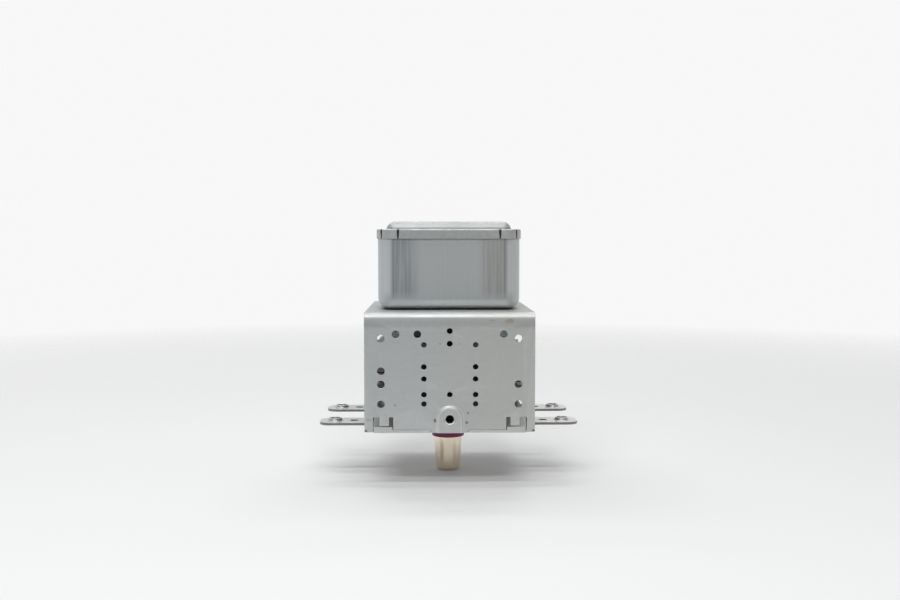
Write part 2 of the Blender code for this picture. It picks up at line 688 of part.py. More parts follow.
def build_exhaust_tube():
    """Copper pump stub: a tube through the fitting, pinched flat at its end."""
    bm = bmesh.new()
    pinch = EXHAUST_END + EXHAUST_PINCH
    top = INSULATOR_END + INSULATOR_WALL
    rings = []
    inner = EXHAUST_RADIUS - EXHAUST_WALL
    for radius, z, flat in ((inner, pinch + CLEAR, 1.0), (inner, top, 1.0),
                            (EXHAUST_RADIUS, top, 1.0), (EXHAUST_RADIUS, pinch, 1.0),
                            (EXHAUST_RADIUS, EXHAUST_END, PINCH_FLAT)):
        stretch = 1.0 + PINCH_SPREAD * (1.0 - flat) / (1.0 - PINCH_FLAT)
        rings.append([(x * stretch, y * flat, z)
                      for x, y in arc(0.0, 0.0, radius, 0, 360, MEDIUM_SIDES)[:-1]])
    add_rings(bm, rings)
    make("exhaust_tube", bm, copper())


def build_seal_cups():
    """Steel cups that join the anode to the two insulators, through the magnets."""
    ends = (("output_seal_cup", OUTPUT_SEAL_END, -1), ("stem_seal_cup", YOKE_TOP + STEM_SEAL_RISE, 1))
    for name, end, way in ends:
        face = MIDDLE + way * STACK_HALF
        under = face - way * SEAL_WALL
        rim = ANODE_RADIUS - REBATE_WALL
        inner = SEAL_RADIUS - SEAL_WALL
        last = end - way * SEAL_WALL
        profile = [(rim, under), (rim, face), (SEAL_RADIUS + SEAL_WALL, face),
                   (SEAL_RADIUS, face + way * SEAL_WALL), (SEAL_RADIUS, end), (SEAL_LIP, end),
                   (SEAL_LIP, last), (inner, last), (inner, under)]
        turned(name, profile, MEDIUM_SIDES, bright_steel())


def build_magnets():
    """Two ferrite rings, against the mounting plate and under the yoke's top."""
    for name, low in (("lower_magnet", PLATE_SHEET + CLEAR),
                      ("upper_magnet", CEILING - CLEAR - MAGNET_HEIGHT)):
        high = low + MAGNET_HEIGHT
        edge = MAGNET_EDGE
        profile = [(MAGNET_BORE, low), (MAGNET_RADIUS - edge, low), (MAGNET_RADIUS, low + edge),
                   (MAGNET_RADIUS, high - edge), (MAGNET_RADIUS - edge, high), (MAGNET_BORE, high)]
        turned(name, profile, LARGE_SIDES, ferrite())


def build_anode():
    """Copper cylinder with a rebate at each end, where a pole piece sits."""
    bore = ANODE_RADIUS - ANODE_WALL
    rebate = ANODE_RADIUS - REBATE_WALL
    depth = POLE_SHEET + CLEAR
    low = MIDDLE - ANODE_HALF
    high = MIDDLE + ANODE_HALF
    profile = [(bore, low + depth), (rebate, low + depth), (rebate, low), (ANODE_RADIUS, low),
               (ANODE_RADIUS, high), (rebate, high), (rebate, high - depth), (bore, high - depth)]
    turned("anode_cylinder", profile, LARGE_SIDES, copper())


def build_pole_pieces():
    """Dished iron rings that lead the field to the working space."""
    rim = ANODE_RADIUS - REBATE_WALL - CLEAR
    for name, way in (("lower_pole_piece", -1), ("upper_pole_piece", 1)):
        outer = MIDDLE + way * ANODE_HALF
        inner = outer - way * POLE_SHEET
        tip = MIDDLE + way * (VANE_HEIGHT / 2 + POLE_GAP)
        back = tip + way * POLE_SHEET
        profile = [(rim, inner), (rim, outer), (POLE_DISH_RADIUS, outer),
                   (POLE_TIP_RADIUS, back), (POLE_BORE, back), (POLE_BORE, tip),
                   (POLE_TIP_RADIUS, tip), (POLE_DISH_RADIUS, inner)]
        pole = turned(name, profile, MEDIUM_SIDES, iron())
        if way < 0:
            bm = bmesh.new()
            add_cylinder(bm, "XY", ANTENNA_START - ANTENNA_LEAN, 0.0, ANTENNA_WAY,
                         outer - OVERCUT, MIDDLE, HOLE_SIDES)
            combine(pole, cutter("antenna_way", bm), "DIFFERENCE")


def vane_outline(lands):
    """Side view of a vane as (radius, height); lands says which ring it carries.

    A vane carries one of the two rings at each edge and clears the other.
    """
    tall = VANE_HEIGHT / 2
    root = ANODE_RADIUS - ANODE_WALL - CLEAR
    split = STRAP_RADIUS + STRAP_WIDTH + CLEAR
    first = STRAP_RADIUS - CLEAR
    last = split + CLEAR + STRAP_WIDTH + CLEAR
    seated = STRAP_HEIGHT + CLEAR
    free = seated + STRAP_FREE

    def edge(inner_carries):
        near, far = (seated, free) if inner_carries else (free, seated)
        return [(VANE_TIP, tall), (first, tall), (first, tall - near), (split, tall - near),
                (split, tall - far), (last, tall - far), (last, tall), (root, tall)]

    upper = [(radius, MIDDLE + height) for radius, height in edge(lands)]
    lower = [(radius, MIDDLE - height) for radius, height in reversed(edge(not lands))]
    return upper + lower


def build_vanes():
    """Ten copper vanes and the four rings that strap them in two sets."""
    for index in range(VANE_COUNT):
        bm = bmesh.new()
        add_prism(bm, vane_outline(index % 2 == 0), "XZ", -VANE_SHEET / 2, VANE_SHEET / 2)
        turn = 2 * math.pi * index / VANE_COUNT
        bmesh.ops.rotate(bm, cent=(0, 0, 0), verts=bm.verts,
                         matrix=Matrix.Rotation(turn, 3, "Z"))
        make(f"anode_vane_{index + 1:02d}", bm, copper())
    second = STRAP_RADIUS + STRAP_WIDTH + 2 * CLEAR
    for level, way in (("lower", -1), ("upper", 1)):
        face = MIDDLE + way * VANE_HEIGHT / 2
        for label, radius in (("inner", STRAP_RADIUS), ("outer", second)):
            low, high = sorted((face, face - way * STRAP_HEIGHT))
            turned(f"strap_{level}_{label}",
                   [(radius, low), (radius + STRAP_WIDTH, low), (radius + STRAP_WIDTH, high),
                    (radius, high)], MEDIUM_SIDES, copper())


def build_cathode():
    """Helical filament between two end hats, on a centre lead and a side lead."""
    tungsten = material("tungsten", (0.30, 0.30, 0.31), 0.5, 1.0)
    half = VANE_HEIGHT / 2 - FILAMENT_WIRE - CLEAR
    steps = FILAMENT_TURNS * TURN_POINTS
    helix = []
    for step in range(steps + 1):
        angle = 2 * math.pi * step / TURN_POINTS
        helix.append((FILAMENT_RADIUS * math.cos(angle), FILAMENT_RADIUS * math.sin(angle),
                      MIDDLE - half + 2 * half * step / steps))
    wire("filament", helix, FILAMENT_WIRE, tungsten)

    face = VANE_HEIGHT / 2
    bore = LEAD_RADIUS + CLEAR
    turned("lower_end_hat", [(0.0, MIDDLE - face), (HAT_RADIUS, MIDDLE - face),
                             (HAT_RADIUS, MIDDLE - face - HAT_THICKNESS),
                             (0.0, MIDDLE - face - HAT_THICKNESS)],
           MEDIUM_SIDES, molybdenum(), closed=False)
    turned("upper_end_hat", [(bore, MIDDLE + face), (HAT_RADIUS, MIDDLE + face),
                             (HAT_RADIUS, MIDDLE + face + HAT_THICKNESS),
                             (bore, MIDDLE + face + HAT_THICKNESS)],
           MEDIUM_SIDES, molybdenum())

    top = STEM_TOP + CLEAR + TERMINAL_SHEET + TERMINAL_RISE
    wire("centre_lead", [(0, 0, MIDDLE - face + CLEAR), (0, 0, top)], LEAD_RADIUS, molybdenum())
    wire("side_lead", [(SIDE_LEAD_X, 0, MIDDLE + face + HAT_THICKNESS + CLEAR),
                       (SIDE_LEAD_X, 0, top)], LEAD_RADIUS, molybdenum())


def build_stem():
    """Alumina stem on the upper seal cup, with a terminal on each cathode lead."""
    bm = bmesh.new()
    bore = INSULATOR_RADIUS - INSULATOR_WALL
    step = STEM_TOP - STEM_CROWN
    profile = [(0.0, step), (bore, step), (bore, STEM_LOW), (INSULATOR_RADIUS, STEM_LOW),
               (INSULATOR_RADIUS, STEM_TOP), (0.0, STEM_TOP)]
    add_turned(bm, profile, MEDIUM_SIDES, closed=False)
    stem = make("stem_insulator", bm, material("white alumina", (0.82, 0.80, 0.76), 0.5, 0.0))
    holes = bmesh.new()
    for x in (0.0, SIDE_LEAD_X):
        add_cylinder(holes, "XY", x, 0.0, LEAD_RADIUS + CLEAR, step - OVERCUT,
                     STEM_TOP + OVERCUT, RIVET_SIDES)
    combine(stem, cutter("stem_holes", holes), "DIFFERENCE")

    low = STEM_TOP + CLEAR
    split = SIDE_LEAD_X / 2
    for name, x, way in (("centre_terminal", 0.0, -1), ("side_terminal", SIDE_LEAD_X, 1)):
        bm = bmesh.new()
        near = split - CLEAR / 2 if way < 0 else split + CLEAR / 2
        far = x + way * TERMINAL_LENGTH
        limits = sorted((near, far))
        add_box(bm, limits, (-TERMINAL_WIDTH / 2, TERMINAL_WIDTH / 2),
                (low, low + TERMINAL_SHEET))
        plate = make(name, bm, bright_steel())
        hole = bmesh.new()
        add_cylinder(hole, "XY", x, 0.0, LEAD_RADIUS + CLEAR / 2, low - OVERCUT,
                     low + OVERCUT, RIVET_SIDES)
        combine(plate, cutter(f"{name}_hole", hole), "DIFFERENCE")


def build_antenna_lead():
    """Rod from a vane, through the lower pole piece and down the output's axis."""
    start = MIDDLE - VANE_HEIGHT / 2 - CLEAR
    seal = MIDDLE - STACK_HALF + SEAL_WALL + CLEAR
    bend = MIDDLE - ANODE_HALF + POLE_SHEET + ANTENNA_EARLY
    inside = SEAL_LIP - 2 * ANTENNA_WIRE
    points = [(ANTENNA_START, 0, start), (ANTENNA_START, 0, bend)]
    drop = seal - bend
    for step in range(1, ANTENNA_STEPS + 1):
        share = step / ANTENNA_STEPS
        ease = share * share * (3 - 2 * share)
        points.append((ANTENNA_START + (inside - ANTENNA_START) * ease, 0, bend + drop * share))
    low = OUTPUT_SEAL_END
    for step in range(1, ANTENNA_STEPS + 1):
        share = step / ANTENNA_STEPS
        ease = share * share * (3 - 2 * share)
        points.append((inside * (1 - ease), 0, seal + (low - seal) * share))
    points.append((0, 0, EXHAUST_END + EXHAUST_PINCH + 2 * CLEAR))
    wire("antenna_lead", points, ANTENNA_WIRE, copper())


def build_fins():
    """Aluminium fins pressed on the anode, their turned-up ends against the legs."""
    reach = LEG_IN - CLEAR
    for index in range(FIN_COUNT):
        z = MIDDLE + (index - (FIN_COUNT - 1) / 2) * FIN_PITCH
        low = z - FIN_SHEET / 2
        top = low + FIN_FLANGE
        inner = FIN_BEND - FIN_SHEET
        turn = low + FIN_BEND
        outline = arc(reach - FIN_BEND, turn, FIN_BEND, -90, 0, FOLD_STEPS)
        outline += [(reach, top), (reach - FIN_SHEET, top)]
        outline += arc(reach - FIN_BEND, turn, inner, 0, -90, FOLD_STEPS)
        outline = mirrored(outline)
        bm = bmesh.new()
        side = YOKE_WIDTH / 2 - FIN_INSET
        add_prism(bm, outline, "YZ", -side, side)
        fin = make(f"cooling_fin_{index + 1}", bm, aluminium())

        neck = bmesh.new()
        collar = ANODE_RADIUS + CLEAR + FIN_COLLAR_WALL
        add_cylinder(neck, "XY", 0.0, 0.0, collar, z, z + FIN_SHEET / 2 + FIN_COLLAR, LARGE_SIDES)
        combine(fin, cutter(f"fin_neck_{index + 1}", neck), "UNION")

        cuts = bmesh.new()
        add_cylinder(cuts, "XY", 0.0, 0.0, ANODE_RADIUS + CLEAR, low - OVERCUT,
                     top + OVERCUT, LARGE_SIDES)
        for side_x in (-1, 1):
            for side_y in (-1, 1):
                middle = side_x * COLUMN_INNER
                x = (middle - FIN_SLOT / 2, middle + FIN_SLOT / 2)
                y = sorted((side_y * (reach - FIN_BEND), side_y * (reach + OVERCUT)))
                add_box(cuts, x, y, (low - OVERCUT, top + OVERCUT))
                corner = side_x * side
                edge = side_y * (reach - FIN_BEND - FIN_SHEET)
                out_x = corner + side_x * OVERCUT
                out_y = side_y * (reach + OVERCUT)
                add_prism(cuts, [(corner - side_x * FIN_CORNER, out_y), (out_x, out_y),
                                 (out_x, edge), (corner - side_x * FIN_CORNER, edge)],
                          "XY", low - OVERCUT, top + OVERCUT)
        combine(fin, cutter(f"fin_cut_{index + 1}", cuts), "DIFFERENCE")


def box_rivet_places():
    """Where the box is riveted to the yoke."""
    side = BOX_WIDTH / 2 - BOX_RIVET_SIDE
    return [(way * side, BOX_BACK - BOX_RIVET_BACK) for way in (-1, 1)]


def box_rings(inset, bottom, top):
    """Loops of a drawn cup, from its open rim down to its flat bottom."""
    half = BOX_WIDTH / 2 - inset

    def loop(shrink, z):
        corner = max(BOX_CORNER - inset - shrink, LEAST_CORNER)
        outline = rounded_rectangle(half - shrink, BOX_FRONT + inset + shrink,
                                    BOX_BACK - inset - shrink, corner, CORNER_STEPS)
        return [(x, y, z) for x, y in outline]

    rings = [loop(0.0, top)]
    for step in range(EDGE_STEPS + 1):
        angle = math.pi / 2 * step / EDGE_STEPS
        rings.append(loop(BOX_EDGE * (1 - math.cos(angle)),
                          bottom + BOX_EDGE * (1 - math.sin(angle))))
    return rings


def flange_rivet_places():
    """The capacitor plate's corners, as (x, z)."""
    x = FLANGE_WIDTH / 2 - RIVET_INSET
    z = FLANGE_HEIGHT / 2 - RIVET_INSET
    return [(side * x, FEED_Z + up * z) for side in (-1, 1) for up in (-1, 1)]


def build_filter_box():
    """Deep-drawn steel box on the yoke, open at the top, holed for stem and feed."""
    box = shell("filter_box", box_rings(0.0, BOX_FLOOR, BOX_RIM), BOX_SHEET, zinc_plate())
    holes = bmesh.new()
    low = BOX_FLOOR - OVERCUT
    high = BOX_FLOOR + OVERCUT
    add_cylinder(holes, "XY", 0.0, 0.0, SEAL_RADIUS + SEAL_TO_BOX, low, high, MEDIUM_SIDES)
    for x, y in box_rivet_places():
        add_cylinder(holes, "XY", x, y, RIVET_RADIUS + CLEAR, low, high, RIVET_SIDES)
    near = BOX_BACK - OVERCUT
    far = BOX_BACK + OVERCUT
    window = stadium(BODY_WIDTH + 2 * CLEAR, BODY_HEIGHT + 2 * CLEAR, FEED_Z, STADIUM_STEPS)
    add_prism(holes, window, "XZ", near, far)
    for x, z in flange_rivet_places():
        add_cylinder(holes, "XZ", x, z, RIVET_RADIUS + CLEAR, near, far, RIVET_SIDES)
    combine(box, cutter("box_holes", holes), "DIFFERENCE")


def slit(bm, x, y, angle):
    """A wedge-shaped slit across the skirt, wider at its upper end."""
    top = LID_TOP - SLIT_ROOT
    low = LID_TOP - LID_SKIRT - OVERCUT
    ends = []
    for width, z in ((SLIT_NARROW, low), (SLIT_WIDE, top)):
        half = width / 2
        reach = OVERCUT / 2
        loop = []
        for along, across in ((-half, -reach), (half, -reach), (half, reach), (-half, reach)):
            loop.append(bm.verts.new((x + along * math.cos(angle) - across * math.sin(angle),
                                      y + along * math.sin(angle) + across * math.cos(angle), z)))
        ends.append(loop)
    bm.faces.new(ends[0])
    bm.faces.new(ends[1])
    for index in range(4):
        after = (index + 1) % 4
        bm.faces.new([ends[0][index], ends[0][after], ends[1][after], ends[1][index]])


def build_lid():
    """Pressed lid: raised crown, folded edge and a skirt slit at each corner."""
    grow = LID_FIT + LID_SHEET
    half = BOX_WIDTH / 2 + grow
    front = BOX_FRONT - grow
    back = BOX_BACK + grow
    corner = BOX_CORNER + grow

    def loop(inset, z):
        outline = rounded_rectangle(half - inset, front + inset, back - inset,
                                    max(corner - inset, LEAST_CORNER), CORNER_STEPS)
        return [(x, y, z) for x, y in outline]

    rings = [loop(0.0, LID_TOP - LID_SKIRT)]
    for step in range(FOLD_STEPS + 1):
        angle = math.pi / 2 * step / FOLD_STEPS
        rings.append(loop(LID_BEND * (1 - math.cos(angle)),
                          LID_TOP - LID_BEND * (1 - math.sin(angle))))
    rings.append(loop(CROWN_INSET, LID_TOP))
    crown = CROWN_INSET + CROWN_ROOT
    peak = LID_TOP + CROWN_RISE
    rounding = CROWN_RISE - CROWN_STEP
    for step in range(EDGE_STEPS + 1):
        angle = math.pi / 2 * step / EDGE_STEPS
        rings.append(loop(crown + (rounding - CROWN_ROOT) * (1 - math.cos(angle)),
                          peak - rounding * (1 - math.sin(angle))))
    lid = shell("filter_lid", rings, LID_SHEET, zinc_plate())

    slits = bmesh.new()
    reach = corner * math.sqrt(0.5)
    for side_x in (-1, 1):
        for y, way in ((front, -1), (back, 1)):
            corner_y = y - way * corner
            corner_x = side_x * (half - corner)
            slit(slits, corner_x + side_x * reach, corner_y + way * reach,
                 math.atan2(way, side_x) - math.pi / 2)
            slit(slits, side_x * (half - corner - SLIT_AFTER_CORNER), y, 0.0)
            slit(slits, side_x * half, corner_y - way * SLIT_AFTER_CORNER, math.pi / 2)
    combine(lid, cutter("lid_slits", slits), "DIFFERENCE")


def build_feed():
    """Feed-through capacitor with its plate, terminals, shroud and rivets."""
    wall = BOX_BACK - BOX_SHEET
    bm = bmesh.new()
    add_prism(bm, stadium(BODY_WIDTH, BODY_HEIGHT, FEED_Z, STADIUM_STEPS), "XZ",
              wall - BODY_LENGTH, BOX_BACK)
    body = make("capacitor_body", bm, material("potting resin", (0.50, 0.16, 0.10), 0.5, 0.0))

    face = BOX_BACK + CLEAR
    half_x = FLANGE_WIDTH / 2
    half_z = FLANGE_HEIGHT / 2
    outline = rounded_rectangle(half_x, FEED_Z - half_z, FEED_Z + half_z, FLANGE_CORNER, ROUND_STEPS)
    bm = bmesh.new()
    add_prism(bm, outline, "XZ", face, face + FLANGE_SHEET)
    plate = make("capacitor_plate", bm, bright_steel())

    foot = face + FLANGE_SHEET + CLEAR
    mouth = foot + SHROUD_LENGTH
    bm = bmesh.new()
    add_prism(bm, stadium(SHROUD_WIDTH, SHROUD_HEIGHT, FEED_Z, STADIUM_STEPS), "XZ", foot, mouth)
    shroud = make("connector_shroud", bm, material("cream polyester", (0.75, 0.70, 0.58), 0.5, 0.0))
    socket = bmesh.new()
    add_prism(socket, stadium(SHROUD_WIDTH - 2 * SHROUD_WALL, SHROUD_HEIGHT - 2 * SHROUD_WALL,
                              FEED_Z, STADIUM_STEPS), "XZ", foot + SHROUD_FLOOR, mouth + OVERCUT)
    combine(shroud, cutter("shroud_socket", socket), "DIFFERENCE")

    slots = bmesh.new()
    for side, label in ((-1, "left"), (1, "right")):
        x = side * BLADE_PITCH / 2
        bm = bmesh.new()
        start = wall - BODY_LENGTH - BLADE_INSIDE
        end = mouth - BLADE_SHORT
        tip = BLADE_WIDTH / 2 - BLADE_SHEET
        tall = BLADE_WIDTH / 2
        outline = [(start, FEED_Z - tall), (end - BLADE_SHEET, FEED_Z - tall), (end, FEED_Z - tip),
                   (end, FEED_Z + tip), (end - BLADE_SHEET, FEED_Z + tall), (start, FEED_Z + tall)]
        add_prism(bm, outline, "YZ", x - BLADE_SHEET / 2, x + BLADE_SHEET / 2)
        make(f"terminal_blade_{label}", bm, bright_steel())
        slot = BLADE_SHEET / 2 + CLEAR
        add_box(slots, (x - slot, x + slot), (start, foot + SHROUD_FLOOR + OVERCUT / 2),
                (FEED_Z - tall - CLEAR, FEED_Z + tall + CLEAR))
    ways = cutter("blade_slots", slots)
    for carrier in (body, plate, shroud):
        combine(carrier, ways, "DIFFERENCE")

    holes = bmesh.new()
    for x, z in flange_rivet_places():
        add_cylinder(holes, "XZ", x, z, RIVET_RADIUS + CLEAR, face - OVERCUT / 2,
                     face + OVERCUT, RIVET_SIDES)
    combine(plate, cutter("flange_holes", holes), "DIFFERENCE")

    for index, (x, z) in enumerate(flange_rivet_places()):
        build_rivet(f"capacitor_rivet_{index + 1}", x, z, "XZ", wall - CLEAR,
                    face + FLANGE_SHEET + CLEAR)


def build_rivet(name, a, b, plane, low, high):
    """A rivet with a flat head at each end of its shank."""
    bm = bmesh.new()
    rings = []
    for radius, along in ((RIVET_HEAD - CLEAR, low - RIVET_HEAD_HEIGHT), (RIVET_HEAD, low),
                          (RIVET_RADIUS, low), (RIVET_RADIUS, high), (RIVET_HEAD, high),
                          (RIVET_HEAD - CLEAR, high + RIVET_HEAD_HEIGHT)):
        rings.append([place(plane, x, y, along)
                      for x, y in arc(a, b, radius, 0, 360, RIVET_SIDES)[:-1]])
    add_rings(bm, rings)
    make(name, bm, aluminium())


def build_box_rivets():
    """Two rivets that hold the filter box on the yoke."""
    for index, (x, y) in enumerate(box_rivet_places()):
        build_rivet(f"box_rivet_{index + 1}", x, y, "XY", CEILING - CLEAR,
                    BOX_FLOOR + BOX_SHEET + CLEAR)


def build_chokes():
    """Two choke coils on ferrite rods, between the stem's and the feed's terminals."""
    pins = BOX_BACK - BOX_SHEET - BODY_LENGTH - BLADE_INSIDE
    level = STEM_TOP + CLEAR + TERMINAL_SHEET + CLEAR + COIL_WIRE
    radius = (CORE_RADIUS + CLEAR + COIL_WIRE) / math.cos(math.pi / COIL_POINTS)
    back = COIL_FRONT + COIL_TURNS * COIL_PITCH
    for side, label in ((-1, "left"), (1, "right")):
        axis = side * COIL_X
        blade = side * BLADE_PITCH / 2
        tab = TERMINAL_LENGTH if side < 0 else SIDE_LEAD_X + TERMINAL_LENGTH
        points = [(blade, pins - CLEAR - COIL_WIRE, level),
                  (blade + side * 2 * COIL_WIRE, back + 4 * COIL_WIRE, level)]
        steps = COIL_TURNS * COIL_POINTS
        for step in range(steps + 1):
            angle = math.pi + side * 2 * math.pi * step / COIL_POINTS
            points.append((axis + radius * side * math.cos(angle),
                           back - COIL_PITCH * step / COIL_POINTS,
                           level + radius * math.sin(angle)))
        points += [(side * (tab + COIL_WIRE), COIL_FRONT + 2 * COIL_WIRE, level),
                   (side * (tab - 2 * COIL_WIRE), -TERMINAL_WIDTH / 2, level),
                   (side * (tab - 2 * COIL_WIRE), TERMINAL_WIDTH / 2, level)]
        wire(f"choke_coil_{label}", points, COIL_WIRE, copper())
        bm = bmesh.new()
        add_cylinder(bm, "XZ", axis, level, CORE_RADIUS, COIL_FRONT - CORE_PAST,
                     back + CORE_PAST, HOLE_SIDES)
        make(f"choke_core_{label}", bm, ferrite())


def main():
    """Builds every piece, from the yoke inwards and then upwards."""
    clear_scene()
    build_yoke()
    build_mounting_plate()
    build_output()
    build_exhaust_tube()
    build_seal_cups()
    build_magnets()
    build_anode()
    build_pole_pieces()
    build_vanes()
    build_cathode()
    build_stem()
    build_antenna_lead()
    build_fins()
    build_filter_box()
    build_lid()
    build_feed()
    build_box_rivets()
    build_chokes()


main()
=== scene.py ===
import math

import bmesh
import bpy
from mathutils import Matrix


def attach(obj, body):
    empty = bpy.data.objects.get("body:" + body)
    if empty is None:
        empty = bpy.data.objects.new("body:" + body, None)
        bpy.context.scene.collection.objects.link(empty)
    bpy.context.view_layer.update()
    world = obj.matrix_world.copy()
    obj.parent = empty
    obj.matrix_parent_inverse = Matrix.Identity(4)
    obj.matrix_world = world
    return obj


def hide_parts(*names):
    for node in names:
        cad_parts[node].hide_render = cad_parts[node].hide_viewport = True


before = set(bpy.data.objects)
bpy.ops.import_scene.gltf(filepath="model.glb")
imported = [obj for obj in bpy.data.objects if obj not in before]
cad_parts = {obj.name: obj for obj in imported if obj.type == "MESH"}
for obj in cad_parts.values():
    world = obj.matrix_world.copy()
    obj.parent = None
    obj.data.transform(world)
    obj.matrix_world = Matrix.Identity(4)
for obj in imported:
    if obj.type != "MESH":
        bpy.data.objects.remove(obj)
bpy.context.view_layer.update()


# ---------------------------------------------------------------------------
# Camera, floor and light. The object stands on its antenna's tip on a white
# table, in soft light from rows of tubes overhead and a little behind it.
MM = 0.001
TIP = -28.1 * MM

camera = bpy.data.objects.new("camera", bpy.data.cameras.new("camera"))
camera.data.lens = 39.66
camera.data.sensor_width = 36.0
camera.location = (-9.42 * MM, -519.38 * MM, 92.17 * MM)
camera.rotation_euler = (math.radians(86.585), 0.0, math.radians(-1.155))
bpy.context.scene.collection.objects.link(camera)
bpy.context.scene.camera = camera
bpy.context.scene.view_settings.view_transform = "Standard"


def put(tree, kind, inputs=None, **settings):
    """Adds a node; its inputs are numbers, colours or the outputs of other nodes."""
    made = tree.nodes.new(kind)
    for key, value in settings.items():
        setattr(made, key, value)
    for key, value in (inputs or {}).items():
        if isinstance(value, bpy.types.NodeSocket):
            tree.links.new(value, made.inputs[key])
        else:
            made.inputs[key].default_value = value
    return made


def ramp(tree, value, stops):
    """A colour ramp through (place, colour) stops; a plain number is a grey."""
    made = put(tree, "ShaderNodeValToRGB", {"Fac": value})
    line = made.color_ramp.elements
    while len(line) < len(stops):
        line.new(0.5)
    for element, (place, colour) in zip(line, stops):
        element.position = place
        grey = isinstance(colour, (int, float))
        element.color = (colour, colour, colour, 1.0) if grey else (*colour, 1.0)
    return made.outputs["Color"]


def blend(tree, factor, first, second, how="MIX"):
    """Mixes two colours."""
    made = put(tree, "ShaderNodeMix", data_type="RGBA", blend_type=how)
    for index, value in ((0, factor), (6, first), (7, second)):
        if isinstance(value, bpy.types.NodeSocket):
            tree.links.new(value, made.inputs[index])
        else:
            made.inputs[index].default_value = value
    return made.outputs[2]


def maths(tree, operation, first, second=0.5, third=0.5, clamp=False):
    return put(tree, "ShaderNodeMath", {0: first, 1: second, 2: third}, operation=operation,
               use_clamp=clamp).outputs[0]


# The room, by its direction from the camera's side (0.5) round to the left (0)
# and to the right (1): cool on the left, warm on the right, with dark gaps.
sky = bpy.data.worlds.new("studio")
bpy.context.scene.world = sky
sky.use_nodes = True
tree = sky.node_tree
tree.nodes.clear()
around = put(tree, "ShaderNodeTexCoord").outputs["Generated"]
parts = put(tree, "ShaderNodeSeparateXYZ", {"Vector": around})
turned = maths(tree, "ARCTAN2", parts.outputs["X"], maths(tree, "MULTIPLY", parts.outputs["Y"], -1.0))
turned = maths(tree, "MULTIPLY_ADD", turned, 0.5 / math.pi, 0.5)
room = ramp(tree, turned, [(0.0, (0.90, 0.90, 0.90)), (0.14, (0.80, 0.81, 0.82)), (0.26, (0.66, 0.68, 0.70)),
                           (0.37, (0.07, 0.075, 0.08)), (0.42, (0.10, 0.105, 0.11)), (0.60, (0.11, 0.11, 0.105)),
                           (0.68, (0.22, 0.215, 0.20)), (0.76, (0.70, 0.69, 0.66)), (0.88, (0.80, 0.80, 0.79)),
                           (1.0, (0.90, 0.90, 0.90))])
height = ramp(tree, parts.outputs["Z"], [(0.2, 0.0), (0.7, 1.0)])
soft = put(tree, "ShaderNodeBackground", {"Color": blend(tree, height, room, (0.22, 0.225, 0.23, 1.0))})
plain = put(tree, "ShaderNodeBackground", {"Color": (0.935, 0.935, 0.937, 1.0)})
seen = put(tree, "ShaderNodeLightPath").outputs["Is Camera Ray"]
mixed = put(tree, "ShaderNodeMixShader", {0: seen, 1: soft.outputs[0], 2: plain.outputs[0]})
put(tree, "ShaderNodeOutputWorld", {"Surface": mixed.outputs[0]})

bpy.ops.mesh.primitive_circle_add(vertices=96, radius=3.0, fill_type="NGON", location=(0, 0, TIP))
floor = bpy.context.object
floor.name = "table"
paper = bpy.data.materials.new("white table")
paper.use_nodes = True
tree = paper.node_tree
place = put(tree, "ShaderNodeTexCoord").outputs["Object"]
far = put(tree, "ShaderNodeVectorMath", {0: place}, operation="LENGTH").outputs["Value"]
white = tree.nodes["Principled BSDF"]
white.inputs["Base Color"].default_value = (0.90, 0.90, 0.90, 1.0)
white.inputs["Roughness"].default_value = 0.9
white.inputs["Specular IOR Level"].default_value = 0.1
tree.links.new(ramp(tree, far, [(0.25, 1.0), (0.95, 0.0)]), white.inputs["Alpha"])
floor.data.materials.append(paper)

for index, (lean, power, length) in enumerate(((-48.0, 2.5, 0.9), (-34.0, 3.0, 0.9), (-12.0, 1.4, 0.9),
                                               (12.0, 1.2, 1.3), (23.0, 2.5, 1.3), (37.0, 1.4, 1.3))):
    tube = bpy.data.lights.new(f"tube_{index + 1}", "AREA")
    tube.shape = "RECTANGLE"
    tube.size = length
    tube.size_y = 0.10
    tube.energy = power
    lamp = bpy.data.objects.new(tube.name, tube)
    angle = math.radians(lean)
    lamp.location = (-0.10, 1.1 * math.sin(angle), 1.1 * math.cos(angle))
    lamp.rotation_euler = (-angle, 0.0, 0.0)
    bpy.context.scene.collection.objects.link(lamp)


# ---------------------------------------------------------------------------
# Yoke: a strip of zinc-plated steel, folded twice and punched. Each leg has an
# embossed pad with a screw hole, and at its foot two windows with a tongue that
# is staked over the mounting plate. The filter box is riveted to its top.
def open_mesh(thing):
    """Opens one piece for modelling, with nothing picked."""
    bpy.ops.object.select_all(action="DESELECT")
    bpy.context.view_layer.objects.active = thing
    thing.select_set(True)
    bpy.ops.object.mode_set(mode="EDIT")
    bpy.ops.mesh.select_all(action="DESELECT")


def close_mesh():
    bpy.ops.object.mode_set(mode="OBJECT")


def pick(kind, test):
    """Picks the corners, edges or faces that a test accepts, and drops the others."""
    bpy.ops.mesh.select_mode(type=kind)
    bpy.ops.mesh.select_all(action="DESELECT")
    net = bmesh.from_edit_mesh(bpy.context.edit_object.data)
    if kind == "VERT":
        chosen = [v for v in net.verts if test(v.co)]
    elif kind == "EDGE":
        chosen = [e for e in net.edges if test(e.verts[0].co, e.verts[1].co)]
    else:
        chosen = [f for f in net.faces if test(f.calc_center_median(), f.normal)]
    for part in chosen:
        part.select_set(True)
    net.select_flush_mode()
    bmesh.update_edit_mesh(bpy.context.edit_object.data)


def near(value, wanted, slack=0.02 * MM):
    return abs(value - wanted) < slack


def extrude(x=0.0, y=0.0, z=0.0):
    bpy.ops.mesh.extrude_region_move(TRANSFORM_OT_translate={"value": (x, y, z)})


